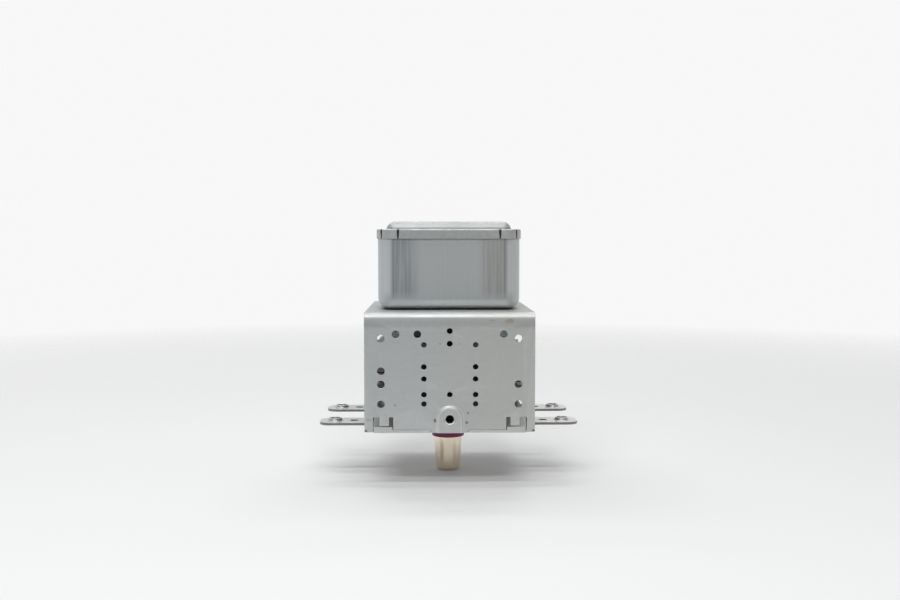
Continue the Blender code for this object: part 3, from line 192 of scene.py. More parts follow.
def settle(thing):
    """Puts a piece's place, turn and size into its mesh."""
    bpy.ops.object.select_all(action="DESELECT")
    bpy.context.view_layer.objects.active = thing
    thing.select_set(True)
    bpy.ops.object.transform_apply(location=True, rotation=True, scale=True)


def add_step(thing, kind, **settings):
    """Adds a modifier and applies it at once."""
    step = thing.modifiers.new(kind.lower(), kind)
    for key, value in settings.items():
        setattr(step, key, value)
    bpy.ops.object.select_all(action="DESELECT")
    bpy.context.view_layer.objects.active = thing
    thing.select_set(True)
    bpy.ops.object.modifier_apply(modifier=step.name)


def cut(thing, tool, how="DIFFERENCE"):
    """Cuts a piece with a tool, or joins them, and takes the tool away."""
    add_step(thing, "BOOLEAN", operation=how, solver="EXACT", object=tool)
    bpy.data.objects.remove(tool, do_unlink=True)


def join(things):
    bpy.ops.object.select_all(action="DESELECT")
    for thing in things:
        thing.select_set(True)
    bpy.context.view_layer.objects.active = things[0]
    if len(things) > 1:
        bpy.ops.object.join()
    return things[0]


def plate_blank(name, x, y, lines_x=(), lines_y=(), keep=None):
    """A flat blank on the XY plane: cut along lines, less the cells outside its outline."""
    bpy.ops.mesh.primitive_plane_add(size=1, location=((x[0] + x[1]) / 2, (y[0] + y[1]) / 2, 0))
    blank = bpy.context.object
    blank.name = name
    blank.scale = (x[1] - x[0], y[1] - y[0], 1)
    settle(blank)
    open_mesh(blank)
    for axis, lines in ((0, lines_x), (1, lines_y)):
        for line in lines:
            bpy.ops.mesh.select_all(action="SELECT")
            point = [0.0, 0.0, 0.0]
            point[axis] = line
            normal = [0.0, 0.0, 0.0]
            normal[axis] = 1.0
            bpy.ops.mesh.bisect(plane_co=point, plane_no=normal)
    if keep:
        pick("FACE", lambda centre, normal: not keep(centre.x, centre.y))
        bpy.ops.mesh.delete(type="FACE")
    bpy.ops.mesh.select_all(action="SELECT")
    bpy.ops.mesh.dissolve_limited(angle_limit=math.radians(1))
    bpy.ops.mesh.select_all(action="DESELECT")
    return blank


def round_corners(test, radius, steps):
    """Rounds the picked corners of a flat blank that is open for modelling."""
    pick("VERT", test)
    bpy.ops.mesh.bevel(affect="VERTICES", offset=radius, segments=steps, profile=0.5)


def drill(thing, holes, axis, middle, length, sides=40):
    """Round holes as (a, b, radius) along an axis, cut all at once."""
    tools = []
    for a, b, radius in holes:
        if axis == "Y":
            place, turn = (a, middle, b), (math.pi / 2, 0, 0)
        else:
            place, turn = (a, b, middle), (0, 0, 0)
        bpy.ops.mesh.primitive_cylinder_add(vertices=sides, radius=radius, depth=length,
                                            location=place, rotation=turn)
        tools.append(bpy.context.object)
    cut(thing, join(tools))


def soften(thing, width, segments=2, angle=50, smooth=35):
    """Rounds the sharp edges a little and shades the piece smoothly."""
    add_step(thing, "BEVEL", width=width, segments=segments, limit_method="ANGLE",
             angle_limit=math.radians(angle), use_clamp_overlap=False)
    bpy.ops.object.select_all(action="DESELECT")
    bpy.context.view_layer.objects.active = thing
    thing.select_set(True)
    bpy.ops.object.shade_smooth_by_angle(angle=math.radians(smooth))
    add_step(thing, "WEIGHTED_NORMAL", keep_sharp=True)


def finish_piece(thing, coat, slot, *nodes):
    """Gives a finished piece its material, hangs it on the root body and hides the CAD parts it replaces."""
    settle(thing)
    thing.data.materials.clear()
    thing.data.materials.append(coat)
    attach(thing, "root")
    if nodes:
        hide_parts(*nodes)


def new_group(name, inputs, outputs):
    """An empty node group with named sockets, as (name, type, default) and (name, type)."""
    group = bpy.data.node_groups.new(name, "ShaderNodeTree")
    for label, kind, value in inputs:
        socket = group.interface.new_socket(label, in_out="INPUT", socket_type=kind)
        socket.default_value = value
    for label, kind in outputs:
        group.interface.new_socket(label, in_out="OUTPUT", socket_type=kind)
    return group, put(group, "NodeGroupInput"), put(group, "NodeGroupOutput")


FLOAT, COLOUR, VECTOR = "NodeSocketFloat", "NodeSocketColor", "NodeSocketVector"

# Plating and rolled sheet: fine grain that can be stretched along one direction,
# cloudy patches where the coat is thicker, and faint rubbed marks.
plating, given, result = new_group(
    "plated sheet",
    [("Bright", COLOUR, (0.6, 0.6, 0.6, 1)), ("Dull", COLOUR, (0.4, 0.4, 0.4, 1)),
     ("Stretch", VECTOR, (1, 1, 1)), ("Grain", FLOAT, 900.0), ("Cloud", FLOAT, 45.0),
     ("Contrast", FLOAT, 0.5), ("Roughness", FLOAT, 0.4), ("Spread", FLOAT, 0.12)],
    [("Colour", COLOUR), ("Roughness", FLOAT), ("Height", FLOAT)])
place = put(plating, "ShaderNodeTexCoord").outputs["Object"]
drawn = put(plating, "ShaderNodeVectorMath", {0: place, 1: given.outputs["Stretch"]},
            operation="MULTIPLY").outputs[0]
grain = put(plating, "ShaderNodeTexNoise",
            {"Vector": drawn, "Scale": given.outputs["Grain"], "Detail": 5.0, "Roughness": 0.6}).outputs[0]
cloud = put(plating, "ShaderNodeTexNoise",
            {"Vector": place, "Scale": given.outputs["Cloud"], "Detail": 4.0, "Roughness": 0.55,
             "Distortion": 0.6}).outputs[0]
fine = put(plating, "ShaderNodeTexNoise",
           {"Vector": place, "Scale": 2600.0, "Detail": 2.0, "Roughness": 0.7}).outputs[0]
patches = ramp(plating, cloud, [(0.35, 0.0), (0.65, 1.0)])
streaks = ramp(plating, grain, [(0.3, 0.0), (0.7, 1.0)])
total = maths(plating, "ADD", maths(plating, "MULTIPLY", streaks, 0.55), maths(plating, "MULTIPLY", patches, 0.45))
share = maths(plating, "MULTIPLY", total, given.outputs["Contrast"], clamp=True)
plating.links.new(blend(plating, share, given.outputs["Bright"], given.outputs["Dull"]), result.inputs["Colour"])
centred = maths(plating, "SUBTRACT", total, 0.5)
plating.links.new(maths(plating, "MULTIPLY_ADD", centred, given.outputs["Spread"], given.outputs["Roughness"],
                        clamp=True), result.inputs["Roughness"])
plating.links.new(maths(plating, "ADD", maths(plating, "MULTIPLY", grain, 0.7), maths(plating, "MULTIPLY", fine, 0.3)),
                  result.inputs["Height"])

# A small mark at one place: a stain, speck, scuff or dent with a ragged edge.
mark, given, result = new_group(
    "mark",
    [("Place", VECTOR, (0, 0, 0)), ("Reach", VECTOR, (1, 1, 1)), ("Ragged", FLOAT, 0.5),
     ("Scale", FLOAT, 900.0), ("Strength", FLOAT, 1.0)],
    [("Mask", FLOAT)])
place = put(mark, "ShaderNodeTexCoord").outputs["Object"]
away = put(mark, "ShaderNodeVectorMath", {0: place, 1: given.outputs["Place"]}, operation="SUBTRACT").outputs[0]
shaped = put(mark, "ShaderNodeVectorMath", {0: away, 1: given.outputs["Reach"]}, operation="DIVIDE").outputs[0]
length = put(mark, "ShaderNodeVectorMath", {0: shaped}, operation="LENGTH").outputs["Value"]
rough_edge = put(mark, "ShaderNodeTexNoise", {"Vector": place, "Scale": given.outputs["Scale"], "Detail": 4.0}).outputs[0]
wobble = maths(mark, "MULTIPLY", maths(mark, "SUBTRACT", rough_edge, 0.5), given.outputs["Ragged"])
reach = maths(mark, "ADD", length, maths(mark, "MULTIPLY", wobble, 4.0))
inside = put(mark, "ShaderNodeMapRange", {"Value": reach, "From Min": 1.0, "From Max": 0.3, "To Min": 0.0,
                                          "To Max": 1.0}, interpolation_type="SMOOTHSTEP").outputs[0]
mark.links.new(maths(mark, "MULTIPLY", inside, given.outputs["Strength"], clamp=True), result.inputs["Mask"])

# Grime and painted shade in the corners and hollows, where ambient occlusion finds them, and a rubbed, brighter line
# along the edges.
wear, given, result = new_group(
    "edges and corners",
    [("Colour", COLOUR, (0.5, 0.5, 0.5, 1)), ("Grime", COLOUR, (0.1, 0.1, 0.1, 1)),
     ("Rubbed", COLOUR, (0.8, 0.8, 0.8, 1)), ("Reach", FLOAT, 2.5 * MM), ("Dirt", FLOAT, 0.5),
     ("Rub", FLOAT, 0.5)],
    [("Colour", COLOUR), ("Hollow", FLOAT)])
shade = put(wear, "ShaderNodeAmbientOcclusion", {"Distance": given.outputs["Reach"]}, samples=6, only_local=True)
hollow = maths(wear, "SUBTRACT", 1.0, shade.outputs["AO"], clamp=True)
place = put(wear, "ShaderNodeTexCoord").outputs["Object"]
uneven = put(wear, "ShaderNodeTexNoise", {"Vector": place, "Scale": 500.0, "Detail": 4.0}).outputs[0]
# grime and painted shade: the hollows darkened through the occlusion mask
grime_and_shade_share = maths(wear, "MULTIPLY", maths(wear, "MULTIPLY", hollow, given.outputs["Dirt"]),
             maths(wear, "ADD", uneven, 0.5), clamp=True)
sharp = put(wear, "ShaderNodeNewGeometry").outputs["Pointiness"]
crest = put(wear, "ShaderNodeMapRange", {"Value": sharp, "From Min": 0.52, "From Max": 0.60}).outputs[0]
rub = maths(wear, "MULTIPLY", maths(wear, "MULTIPLY", crest, given.outputs["Rub"]), uneven, clamp=True)
bare = blend(wear, rub, given.outputs["Colour"], given.outputs["Rubbed"])
wear.links.new(blend(wear, grime_and_shade_share, bare, given.outputs["Grime"]), result.inputs["Colour"])
wear.links.new(hollow, result.inputs["Hollow"])


# Painted shade in the depths: darker where other pieces stand close, by ambient occlusion.
depths, given, result = new_group(
    "depths", [("Colour", COLOUR, (0.5, 0.5, 0.5, 1)), ("DepthShade", COLOUR, (0.06, 0.06, 0.055, 1)),
               ("Reach", FLOAT, 6.0 * MM)], [("Colour", COLOUR)])
shade = put(depths, "ShaderNodeAmbientOcclusion", {"Distance": given.outputs["Reach"]}, samples=6)
depths.links.new(blend(depths, ramp(depths, shade.outputs["AO"], [(0.15, 1.0), (0.65, 0.0)]), given.outputs["Colour"],
                       given.outputs["DepthShade"]), result.inputs["Colour"])


def place_group(tree, group, **inputs):
    """Places a shared node group, with its own values."""
    made = tree.nodes.new("ShaderNodeGroup")
    made.node_tree = group
    for key, value in inputs.items():
        socket = made.inputs[key]
        if isinstance(value, bpy.types.NodeSocket):
            tree.links.new(value, socket)
        elif socket.type == "RGBA":
            socket.default_value = (*value, 1.0)
        else:
            socket.default_value = value
    return made.outputs


def sheet_metal(name, bright, dull, metallic=0.9, stretch=(1, 1, 1), grain=900.0, cloud=45.0,
                contrast=0.5, roughness=0.4, spread=0.12, bump=0.02, grime_and_shade=(0.10, 0.10, 0.09),
                rubbed=(0.75, 0.76, 0.76), grime_and_shade_share=0.5, rub=0.4, marks=(), more=None, deep=0.0):
    """A plated or bare metal finish from the shared groups.

    Each mark is (place, reach, ragged, strength, colour). `more` adds the
    piece's own layers to the colour, and `deep` is the reach of the painted shade in its depths.
    """
    coat = bpy.data.materials.new(name)
    coat.use_nodes = True
    tree = coat.node_tree
    shader = tree.nodes["Principled BSDF"]
    shader.inputs["Metallic"].default_value = metallic
    base = place_group(tree, plating, Bright=bright, Dull=dull, Stretch=stretch, Grain=grain, Cloud=cloud,
                       Contrast=contrast, Roughness=roughness, Spread=spread)
    colour = base["Colour"]
    if more:
        colour = more(tree, colour)
    for point, reach, ragged, strength, tint in marks:
        mask = place_group(tree, mark, Place=point, Reach=reach, Ragged=ragged, Strength=strength)["Mask"]
        colour = blend(tree, mask, colour, (*tint, 1.0))
    if deep:
        colour = place_group(tree, depths, Colour=colour, Reach=deep)["Colour"]
    wear_and_painted_light = place_group(tree, wear, Colour=colour, Grime=grime_and_shade, Rubbed=rubbed, Dirt=grime_and_shade_share, Rub=rub)
    tree.links.new(wear_and_painted_light["Colour"], shader.inputs["Base Color"])
    tree.links.new(base["Roughness"], shader.inputs["Roughness"])
    bumped = put(tree, "ShaderNodeBump", {"Height": base["Height"], "Strength": 0.35, "Distance": bump * MM})
    tree.links.new(bumped.outputs[0], shader.inputs["Normal"])
    return coat


def mirror_x(points):
    return [*points, *((-x, *rest) for x, *rest in points)]


HALF = 41.0 * MM
LEG = 47.5 * MM
YOKE_TOP = 58.0 * MM
SHEET = 1.6 * MM
PAST = 5.0 * MM

bpy.ops.mesh.primitive_plane_add(size=1, location=(0, 0, YOKE_TOP))
yoke = bpy.context.object
yoke.name = "folded_yoke"
yoke.scale = (2 * HALF, 2 * LEG, 1)
settle(yoke)
open_mesh(yoke)
pick("EDGE", lambda a, b: near(abs(a.y), LEG) and near(a.y, b.y))
extrude(z=-YOKE_TOP - PAST)
pick("EDGE", lambda a, b: near(a.z, YOKE_TOP) and near(b.z, YOKE_TOP) and near(a.y, b.y))
bpy.ops.mesh.bevel(affect="EDGES", offset=3.1 * MM, segments=10, profile=0.5)
bpy.ops.mesh.select_all(action="SELECT")
bpy.ops.mesh.normals_make_consistent(inside=False)
close_mesh()
add_step(yoke, "SOLIDIFY", thickness=SHEET, offset=-1.0, use_even_offset=True)


def arch_block(half, back, side, face):
    """The embossed pad as a solid: an arch whose edge rises in a soft S, open to the foot."""
    centre = 6.6 * MM
    bpy.ops.mesh.primitive_circle_add(vertices=64, radius=half, fill_type="NGON")
    block = bpy.context.object
    open_mesh(block)
    bpy.ops.mesh.select_all(action="SELECT")
    bpy.ops.mesh.bisect(plane_co=(0, 0, 0), plane_no=(0, 1, 0), clear_inner=True)
    pick("EDGE", lambda a, b: near(a.y, 0) and near(b.y, 0))
    extrude(y=-centre - PAST)
    bpy.ops.mesh.select_all(action="SELECT")
    bpy.ops.mesh.dissolve_limited(angle_limit=math.radians(1))
    bpy.ops.mesh.select_all(action="SELECT")
    for wide, tall in ((0.10, 0.0), (0.22, 0.14), (0.28, 0.36), (0.28, 0.36), (0.22, 0.14), (0.10, 0.0)):
        bpy.ops.mesh.inset(thickness=wide * MM, depth=tall * MM)
    bpy.ops.mesh.select_mode(type="EDGE")
    bpy.ops.mesh.select_all(action="DESELECT")
    bpy.ops.mesh.select_non_manifold()
    extrude(z=-back)
    bpy.ops.mesh.edge_face_add()
    bpy.ops.mesh.select_all(action="SELECT")
    bpy.ops.mesh.normals_make_consistent(inside=False)
    close_mesh()
    block.rotation_euler = (math.pi / 2, 0, 0 if side < 0 else math.pi)
    block.location = (0, side * face, centre)
    settle(block)
    return block


cut(yoke, join([arch_block(6.7 * MM, SHEET / 2, side, LEG) for side in (-1, 1)]), "UNION")
cut(yoke, join([arch_block(6.1 * MM, PAST, side, LEG - SHEET) for side in (-1, 1)]))


def under_foot(x, z):
    """True for what the punch takes away below a leg, windows included."""
    x = abs(x) / MM
    z = z / MM
    for limit, height in ((9.0, 0.0), (27.2, 1.48), (29.2, 7.6), (33.8, 3.4), (36.8, 7.6)):
        if x < limit:
            return z < height
    return z < 0.6


lines = [side * x * MM for side in (-1, 1) for x in (9.0, 27.2, 29.2, 33.8, 36.8)]
punch = plate_blank("punch", (-HALF - PAST, HALF + PAST), (-2 * PAST, 7.6 * MM), lines,
                    [z * MM for z in (0.0, 0.6, 1.48, 3.4)], under_foot)
round_corners(lambda v: v.y > 0.1 * MM and abs(v.x) < HALF, 0.3 * MM, 3)
close_mesh()
add_step(punch, "SOLIDIFY", thickness=2 * (LEG + PAST), offset=0.0)
punch.rotation_euler = (math.pi / 2, 0, 0)
settle(punch)
cut(yoke, punch)

holes = mirror_x([(33.0, 45.5, 1.8), (33.0, 13.9, 1.8), (33.0, 23.5, 1.8), (25.9, 47.6, 1.8),
                  (12.4, 42.5, 1.3), (12.4, 14.0, 1.3), (12.4, 18.5, 1.3), (12.4, 26.1, 1.3),
                  (12.4, 31.9, 1.3)])
holes += [(-33.0, 29.9, 1.8), (-15.5, 47.6, 1.8), (0.0, 18.5, 1.3), (0.0, 49.1, 1.4), (0.0, 43.0, 1.4),
          (0.0, 6.6, 2.0)]
drill(yoke, [(x * MM, z * MM, r * MM) for x, z, r in holes], "Y", 0.0, 2 * (LEG + PAST))
drill(yoke, [(0, 0, 10.6 * MM)], "Z", YOKE_TOP, 4 * SHEET, 72)
drill(yoke, [(-24.0 * MM, 21.0 * MM, 1.4 * MM), (24.0 * MM, 21.0 * MM, 1.4 * MM)], "Z", YOKE_TOP, 4 * SHEET, 24)

notches = []
for side in (-1, 1):
    notch = plate_blank("notch", (-2.0 * MM, 2.0 * MM), (-2.0 * MM, 4.6 * MM))
    round_corners(lambda v: v.y < 0, 1.99 * MM, 8)
    close_mesh()
    add_step(notch, "SOLIDIFY", thickness=4 * SHEET, offset=0.0)
    notch.rotation_euler = (math.pi / 2, side * math.pi / 2, 0)
    notch.location = (side * 38.4 * MM, LEG - SHEET / 2, 37.8 * MM)
    settle(notch)
    notches.append(notch)
cut(yoke, join(notches))

tools = []
for side in (-1, 1):
    bpy.ops.mesh.primitive_cone_add(vertices=40, radius1=2.0 * MM, radius2=3.6 * MM, depth=0.8 * MM,
                                    location=(0, side * (LEG + 0.75 * MM), 6.6 * MM),
                                    rotation=(-side * math.pi / 2, 0, 0))
    tools.append(bpy.context.object)
cut(yoke, join(tools))
soften(yoke, 0.22 * MM, 3)

# Marks of the photographed one, as (x, z) on the near leg, half width, half
# height, raggedness, strength and colour.
marks = [((x * MM, -47.5 * MM, z * MM), (wide * MM, 2.5 * MM, tall * MM), ragged, strength, colour)
         for x, z, wide, tall, ragged, strength, colour in (
             (28.7, 53.6, 2.6, 1.8, 0.5, 0.7, (0.36, 0.27, 0.15)),
             (20.5, 54.3, 1.8, 0.5, 0.4, 0.5, (0.20, 0.17, 0.12)),
             (-26.2, 13.3, 0.8, 0.7, 0.3, 0.5, (0.14, 0.14, 0.14)),
             (-7.1, 5.9, 0.7, 1.5, 0.4, 0.85, (0.06, 0.06, 0.06)),
             # the next two, dark at the pad's right edge, are painted shadow
             (8.6, 9.6, 0.7, 1.1, 0.5, 0.75, (0.07, 0.07, 0.07)),
             (8.1, 5.1, 0.8, 0.9, 0.5, 0.75, (0.07, 0.07, 0.07)),
             (-4.6, 43.0, 0.5, 0.5, 0.3, 0.6, (0.12, 0.12, 0.12)),
             (4.6, 43.0, 0.5, 0.5, 0.3, 0.6, (0.12, 0.12, 0.12)),
             (-38.5, 6.3, 2.6, 0.8, 0.5, 0.35, (0.22, 0.23, 0.23)),
             (-40.2, 0.9, 1.1, 1.1, 0.3, 1.0, (0.02, 0.02, 0.02)),
             (40.2, 0.9, 1.1, 1.1, 0.3, 1.0, (0.02, 0.02, 0.02)))]


def yoke_painted_light(tree, colour):
    """Painted light on the yoke: painted shade low on the legs' inner faces, painted highlights on the pad and the
    bend, a painted shade line below the bend, and a warmer tint to the right.
    """
    place = put(tree, "ShaderNodeTexCoord").outputs["Object"]
    parts = put(tree, "ShaderNodeSeparateXYZ", {"Vector": place}).outputs
    # painted highlights: a ring round the pad's raised edge, and the lower rims of its screw hole
    rise = maths(tree, "SUBTRACT", parts["Z"], 6.6 * MM)
    level = maths(tree, "LESS_THAN", parts["Z"], 15.0 * MM)

    def reach_from(height, stops):
        point = put(tree, "ShaderNodeCombineXYZ", {"X": parts["X"], "Y": 0.0, "Z": height})
        away = put(tree, "ShaderNodeVectorMath", {0: point.outputs[0]}, operation="LENGTH").outputs["Value"]
        return maths(tree, "MULTIPLY", ramp(tree, maths(tree, "MULTIPLY", away, 100.0), stops), level)

    edge = reach_from(maths(tree, "MAXIMUM", rise, 0.0), [(0.48, 0.0), (0.56, 0.55), (0.64, 0.7), (0.72, 0.0)])
    rims = reach_from(rise, [(0.20, 0.0), (0.215, 1.0), (0.265, 1.0), (0.29, 0.0), (0.34, 0.0), (0.37, 0.4), (0.41, 0.0)])
    below = put(tree, "ShaderNodeMapRange", {"Value": rise, "From Min": -0.8 * MM, "From Max": -1.9 * MM}).outputs[0]
    colour = blend(tree, maths(tree, "MAXIMUM", edge, maths(tree, "MULTIPLY", rims, below)), colour,
                   (0.86, 0.88, 0.87, 1.0))
    # painted light: a warmer tint towards the right
    warm = ramp(tree, maths(tree, "MULTIPLY_ADD", parts["X"], 10.0, 0.5), [(0.35, 0.0), (0.8, 0.55)])
    colour = blend(tree, warm, colour, (0.575, 0.575, 0.53, 1.0))
    # the bend: a painted highlight on its outer face, with a painted shade line just below it
    bend_shade_line = ramp(tree, maths(tree, "MULTIPLY", parts["Z"], 10.0), [(0.50, 0.0), (0.518, 0.65), (0.535, 0.5), (0.547, 0.0)])
    colour = blend(tree, bend_shade_line, colour, (0.38, 0.40, 0.40, 1.0))
    bend_highlight = ramp(tree, maths(tree, "MULTIPLY", parts["Z"], 10.0), [(0.548, 0.0), (0.558, 0.3), (0.575, 0.3), (0.58, 0.0)])
    colour = blend(tree, bend_highlight, colour, (0.80, 0.82, 0.82, 1.0))
    # painted shade on the legs' inner faces, below 30 to 38 mm
    between = maths(tree, "LESS_THAN", maths(tree, "ABSOLUTE", parts["Y"]), LEG - SHEET + 0.04 * MM)
    below = put(tree, "ShaderNodeMapRange", {"Value": parts["Z"], "From Min": 38.0 * MM, "From Max": 30.0 * MM}).outputs[0]
    return blend(tree, maths(tree, "MULTIPLY", between, below), colour, (0.08, 0.08, 0.075, 1.0))


yoke_zinc = sheet_metal(
    "yoke zinc", (0.575, 0.595, 0.595), (0.475, 0.50, 0.50), metallic=0.8, stretch=(0.25, 1, 1), grain=700.0,
    contrast=0.55, roughness=0.52, marks=marks, more=yoke_painted_light, deep=4.0 * MM)
finish_piece(yoke, yoke_zinc, "yoke_zinc", "yoke")

# ---------------------------------------------------------------------------
# Mounting plate: it closes the yoke below and carries four ears. A collar is
# drawn up round each fixing hole, with a pilot hole beside it, and the tabs in
# the yoke's windows are part of it. Steel sheet, zinc plated.
PLATE = 1.4 * MM


def on_plate(x, y):
    x = abs(x) / MM
    y = abs(y) / MM
    return (x < 41.0 and y < 45.6) or (9.3 < x < 36.5) or (x >= 41.0 and 12.75 < y < 27.25)


lines_x = [side * x * MM for side in (-1, 1) for x in (9.3, 36.5, 41.0)]
lines_y = [side * y * MM for side in (-1, 1) for y in (12.75, 27.25, 45.6)]
plate = plate_blank("eared_plate", (-65 * MM, 65 * MM), (-LEG, LEG), lines_x, lines_y, on_plate)
round_corners(lambda v: abs(v.x) > 64 * MM, 5.0 * MM, 10)
round_corners(lambda v: near(abs(v.x), 41 * MM) and abs(v.y) < 30 * MM, 3.0 * MM, 6)
close_mesh()
plate.location.z = PLATE
settle(plate)
add_step(plate, "SOLIDIFY", thickness=PLATE, offset=-1.0)


def turn(name, points, steps=64, closed=True, axis_at=(0, 0)):
    """A turned or drawn round piece: a profile of (radius, height) spun round an upright axis."""
    bpy.ops.mesh.primitive_plane_add(size=0.1 * MM, location=(points[0][0], 0, points[0][1]))
    piece = bpy.context.object
    piece.name = name
    settle(piece)
    open_mesh(piece)
    bpy.ops.mesh.select_all(action="SELECT")
    bpy.ops.mesh.merge(type="CENTER")
    bpy.ops.mesh.select_mode(type="VERT")
    bpy.ops.mesh.select_all(action="SELECT")
    for start, end in zip(points, points[1:]):
        extrude(x=end[0] - start[0], z=end[1] - start[1])
    bpy.ops.mesh.select_all(action="SELECT")
    if closed:
        bpy.ops.mesh.select_all(action="DESELECT")
        net = bmesh.from_edit_mesh(piece.data)
        for vert in net.verts:
            vert.select_set(len(vert.link_edges) == 1)
        bmesh.update_edit_mesh(piece.data)
        bpy.ops.mesh.edge_face_add()
        bpy.ops.mesh.select_all(action="SELECT")
    bpy.ops.mesh.spin(steps=steps, angle=2 * math.pi, center=(0, 0, 0), axis=(0, 0, 1))
    bpy.ops.mesh.select_all(action="SELECT")
    bpy.ops.mesh.remove_doubles(threshold=0.002 * MM)
    bpy.ops.mesh.select_all(action="SELECT")
    bpy.ops.mesh.normals_make_consistent(inside=False)
    close_mesh()
    piece.location = (*axis_at, 0)
    settle(piece)
    return piece


def arc(a, b, radius, start, end, steps):
    """Points on an arc, angles in degrees."""
    angles = [math.radians(start + (end - start) * n / steps) for n in range(steps + 1)]
    return [(a + radius * math.cos(t), b + radius * math.sin(t)) for t in angles]


def copies(thing, places):
    """Copies of a modelled piece, each with its own mesh, moved by (x, y, z)."""
    made = []
    for number, shift in enumerate(places):
        other = thing.copy()
        other.data = thing.data.copy()
        other.name = f"{thing.name}_{number + 1}"
        bpy.context.scene.collection.objects.link(other)
        other.location = shift
        settle(other)
        made.append(other)
    bpy.data.objects.remove(thing, do_unlink=True)
    return made


ears = [(x * 57.5 * MM, y * 20.0 * MM, 0) for x in (-1, 1) for y in (-1, 1)]
collar = turn("collar", [(0, 0.7 * MM), (4.1 * MM, 0.7 * MM)]
              + [(x * MM, z * MM) for x, z in arc(4.1, 2.1, 0.7, -90, -180, 4)]
              + [(x * MM, z * MM) for x, z in arc(3.0, 2.3, 0.4, 0, 90, 3)] + [(0, 2.7 * MM)], 48, False)
cut(plate, join(copies(collar, ears)), "UNION")
tabs = []
for x in (-32.0, 32.0):
    for y in (-46.7, 46.7):
        bpy.ops.mesh.primitive_cube_add(size=1, location=(x * MM, y * MM, 1.75 * MM))
        tab = bpy.context.object
        tab.scale = (9.0 * MM, 1.6 * MM, 2.2 * MM)
        settle(tab)
        tabs.append(tab)
cut(plate, join(tabs), "UNION")
flare = turn("flare", [(0, -3 * MM), (3.3 * MM, -3 * MM)]
             + [(x * MM, z * MM) for x, z in arc(3.3, 0.7, 0.7, -90, -180, 5)] + [(2.6 * MM, 6 * MM), (0, 6 * MM)],
             48, False)
cut(plate, join(copies(flare, ears)))
drill(plate, [(x * 47.8 * MM, y * 20.0 * MM, 2.1 * MM) for x in (-1, 1) for y in (-1, 1)], "Z", 0, 4 * PLATE)
drill(plate, [(0, 0, 9.6 * MM)], "Z", 0, 4 * PLATE, 96)
soften(plate, 0.14 * MM, 3)


def plate_edges_and_painted_light(tree, colour):
    """The ears' cut edges are bare, dull steel; painted shade darkens the plate's top inside the yoke, and the ears'
    tops carry a painted highlight, more on the right.
    """
    place = put(tree, "ShaderNodeTexCoord")
    parts = put(tree, "ShaderNodeSeparateXYZ", {"Vector": place.outputs["Object"]})
    facing = put(tree, "ShaderNodeSeparateXYZ", {"Vector": place.outputs["Normal"]})
    upright = maths(tree, "LESS_THAN", maths(tree, "ABSOLUTE", facing.outputs["Z"]), 0.55)
    outside = maths(tree, "GREATER_THAN", maths(tree, "ABSOLUTE", parts.outputs["X"]), 41.3 * MM)
    low = maths(tree, "LESS_THAN", parts.outputs["Z"], 1.25 * MM)
    edge = maths(tree, "MULTIPLY", maths(tree, "MULTIPLY", upright, outside), low)
    colour = blend(tree, maths(tree, "MULTIPLY", edge, 0.85), colour, (0.165, 0.16, 0.15, 1.0))
    # painted shade on the plate's top inside the yoke, stronger towards the back corners
    upper = maths(tree, "GREATER_THAN", facing.outputs["Z"], 0.5)
    corner = put(tree, "ShaderNodeMapRange", {"Value": maths(tree, "ABSOLUTE", parts.outputs["Y"]), "From Min": 14.0 * MM,
                                              "From Max": 17.0 * MM, "To Max": 1.6 * MM}).outputs[0]
    inner = maths(tree, "SUBTRACT", maths(tree, "ABSOLUTE", parts.outputs["X"]), corner)
    rear = put(tree, "ShaderNodeMapRange", {"Value": parts.outputs["Y"], "From Min": 10.0 * MM,
                                            "From Max": 16.0 * MM}).outputs[0]
    aside = put(tree, "ShaderNodeMapRange", {"Value": maths(tree, "ABSOLUTE", parts.outputs["X"]), "From Min": 29.0 * MM,
                                             "From Max": 34.0 * MM}).outputs[0]
    inner_shade_depth = maths(tree, "MULTIPLY_ADD", maths(tree, "MULTIPLY", rear, aside), 0.75, 0.25)
    inner_shade = maths(tree, "MULTIPLY", upper, inner_shade_depth)
    reach = put(tree, "ShaderNodeMapRange", {"Value": inner,
                                             "From Min": 41.2 * MM, "From Max": 40.2 * MM}).outputs[0]
    colour = blend(tree, maths(tree, "MULTIPLY", inner_shade, reach), colour, (0.075, 0.072, 0.062, 1.0))
    # painted highlight: the ears' tops lighter, more on the right
    right = maths(tree, "MULTIPLY", maths(tree, "GREATER_THAN", parts.outputs["X"], 41.3 * MM), 0.75)
    left = maths(tree, "MULTIPLY", maths(tree, "LESS_THAN", parts.outputs["X"], -41.3 * MM), 0.3)
    return blend(tree, maths(tree, "MULTIPLY", upper, maths(tree, "ADD", left, right)), colour,
                 (0.92, 0.92, 0.90, 1.0))


plate_zinc = sheet_metal("plate zinc", (0.62, 0.63, 0.62), (0.515, 0.525, 0.505), metallic=0.8, stretch=(1, 0.3, 1),
                         grain=650.0, contrast=0.6, roughness=0.40, grime_and_shade=(0.09, 0.085, 0.05), grime_and_shade_share=0.7,
                         more=plate_edges_and_painted_light)
finish_piece(plate, plate_zinc, "plate_zinc", "mounting_plate")

# ---------------------------------------------------------------------------
# Output: the steel seal cup comes through the plate and carries a purple
# alumina ring, and a drawn nickel-plated cap is pressed over the pump stub.
OUT_STEPS = 96


def mm(points):
    return [(a * MM, b * MM) for a, b in points]


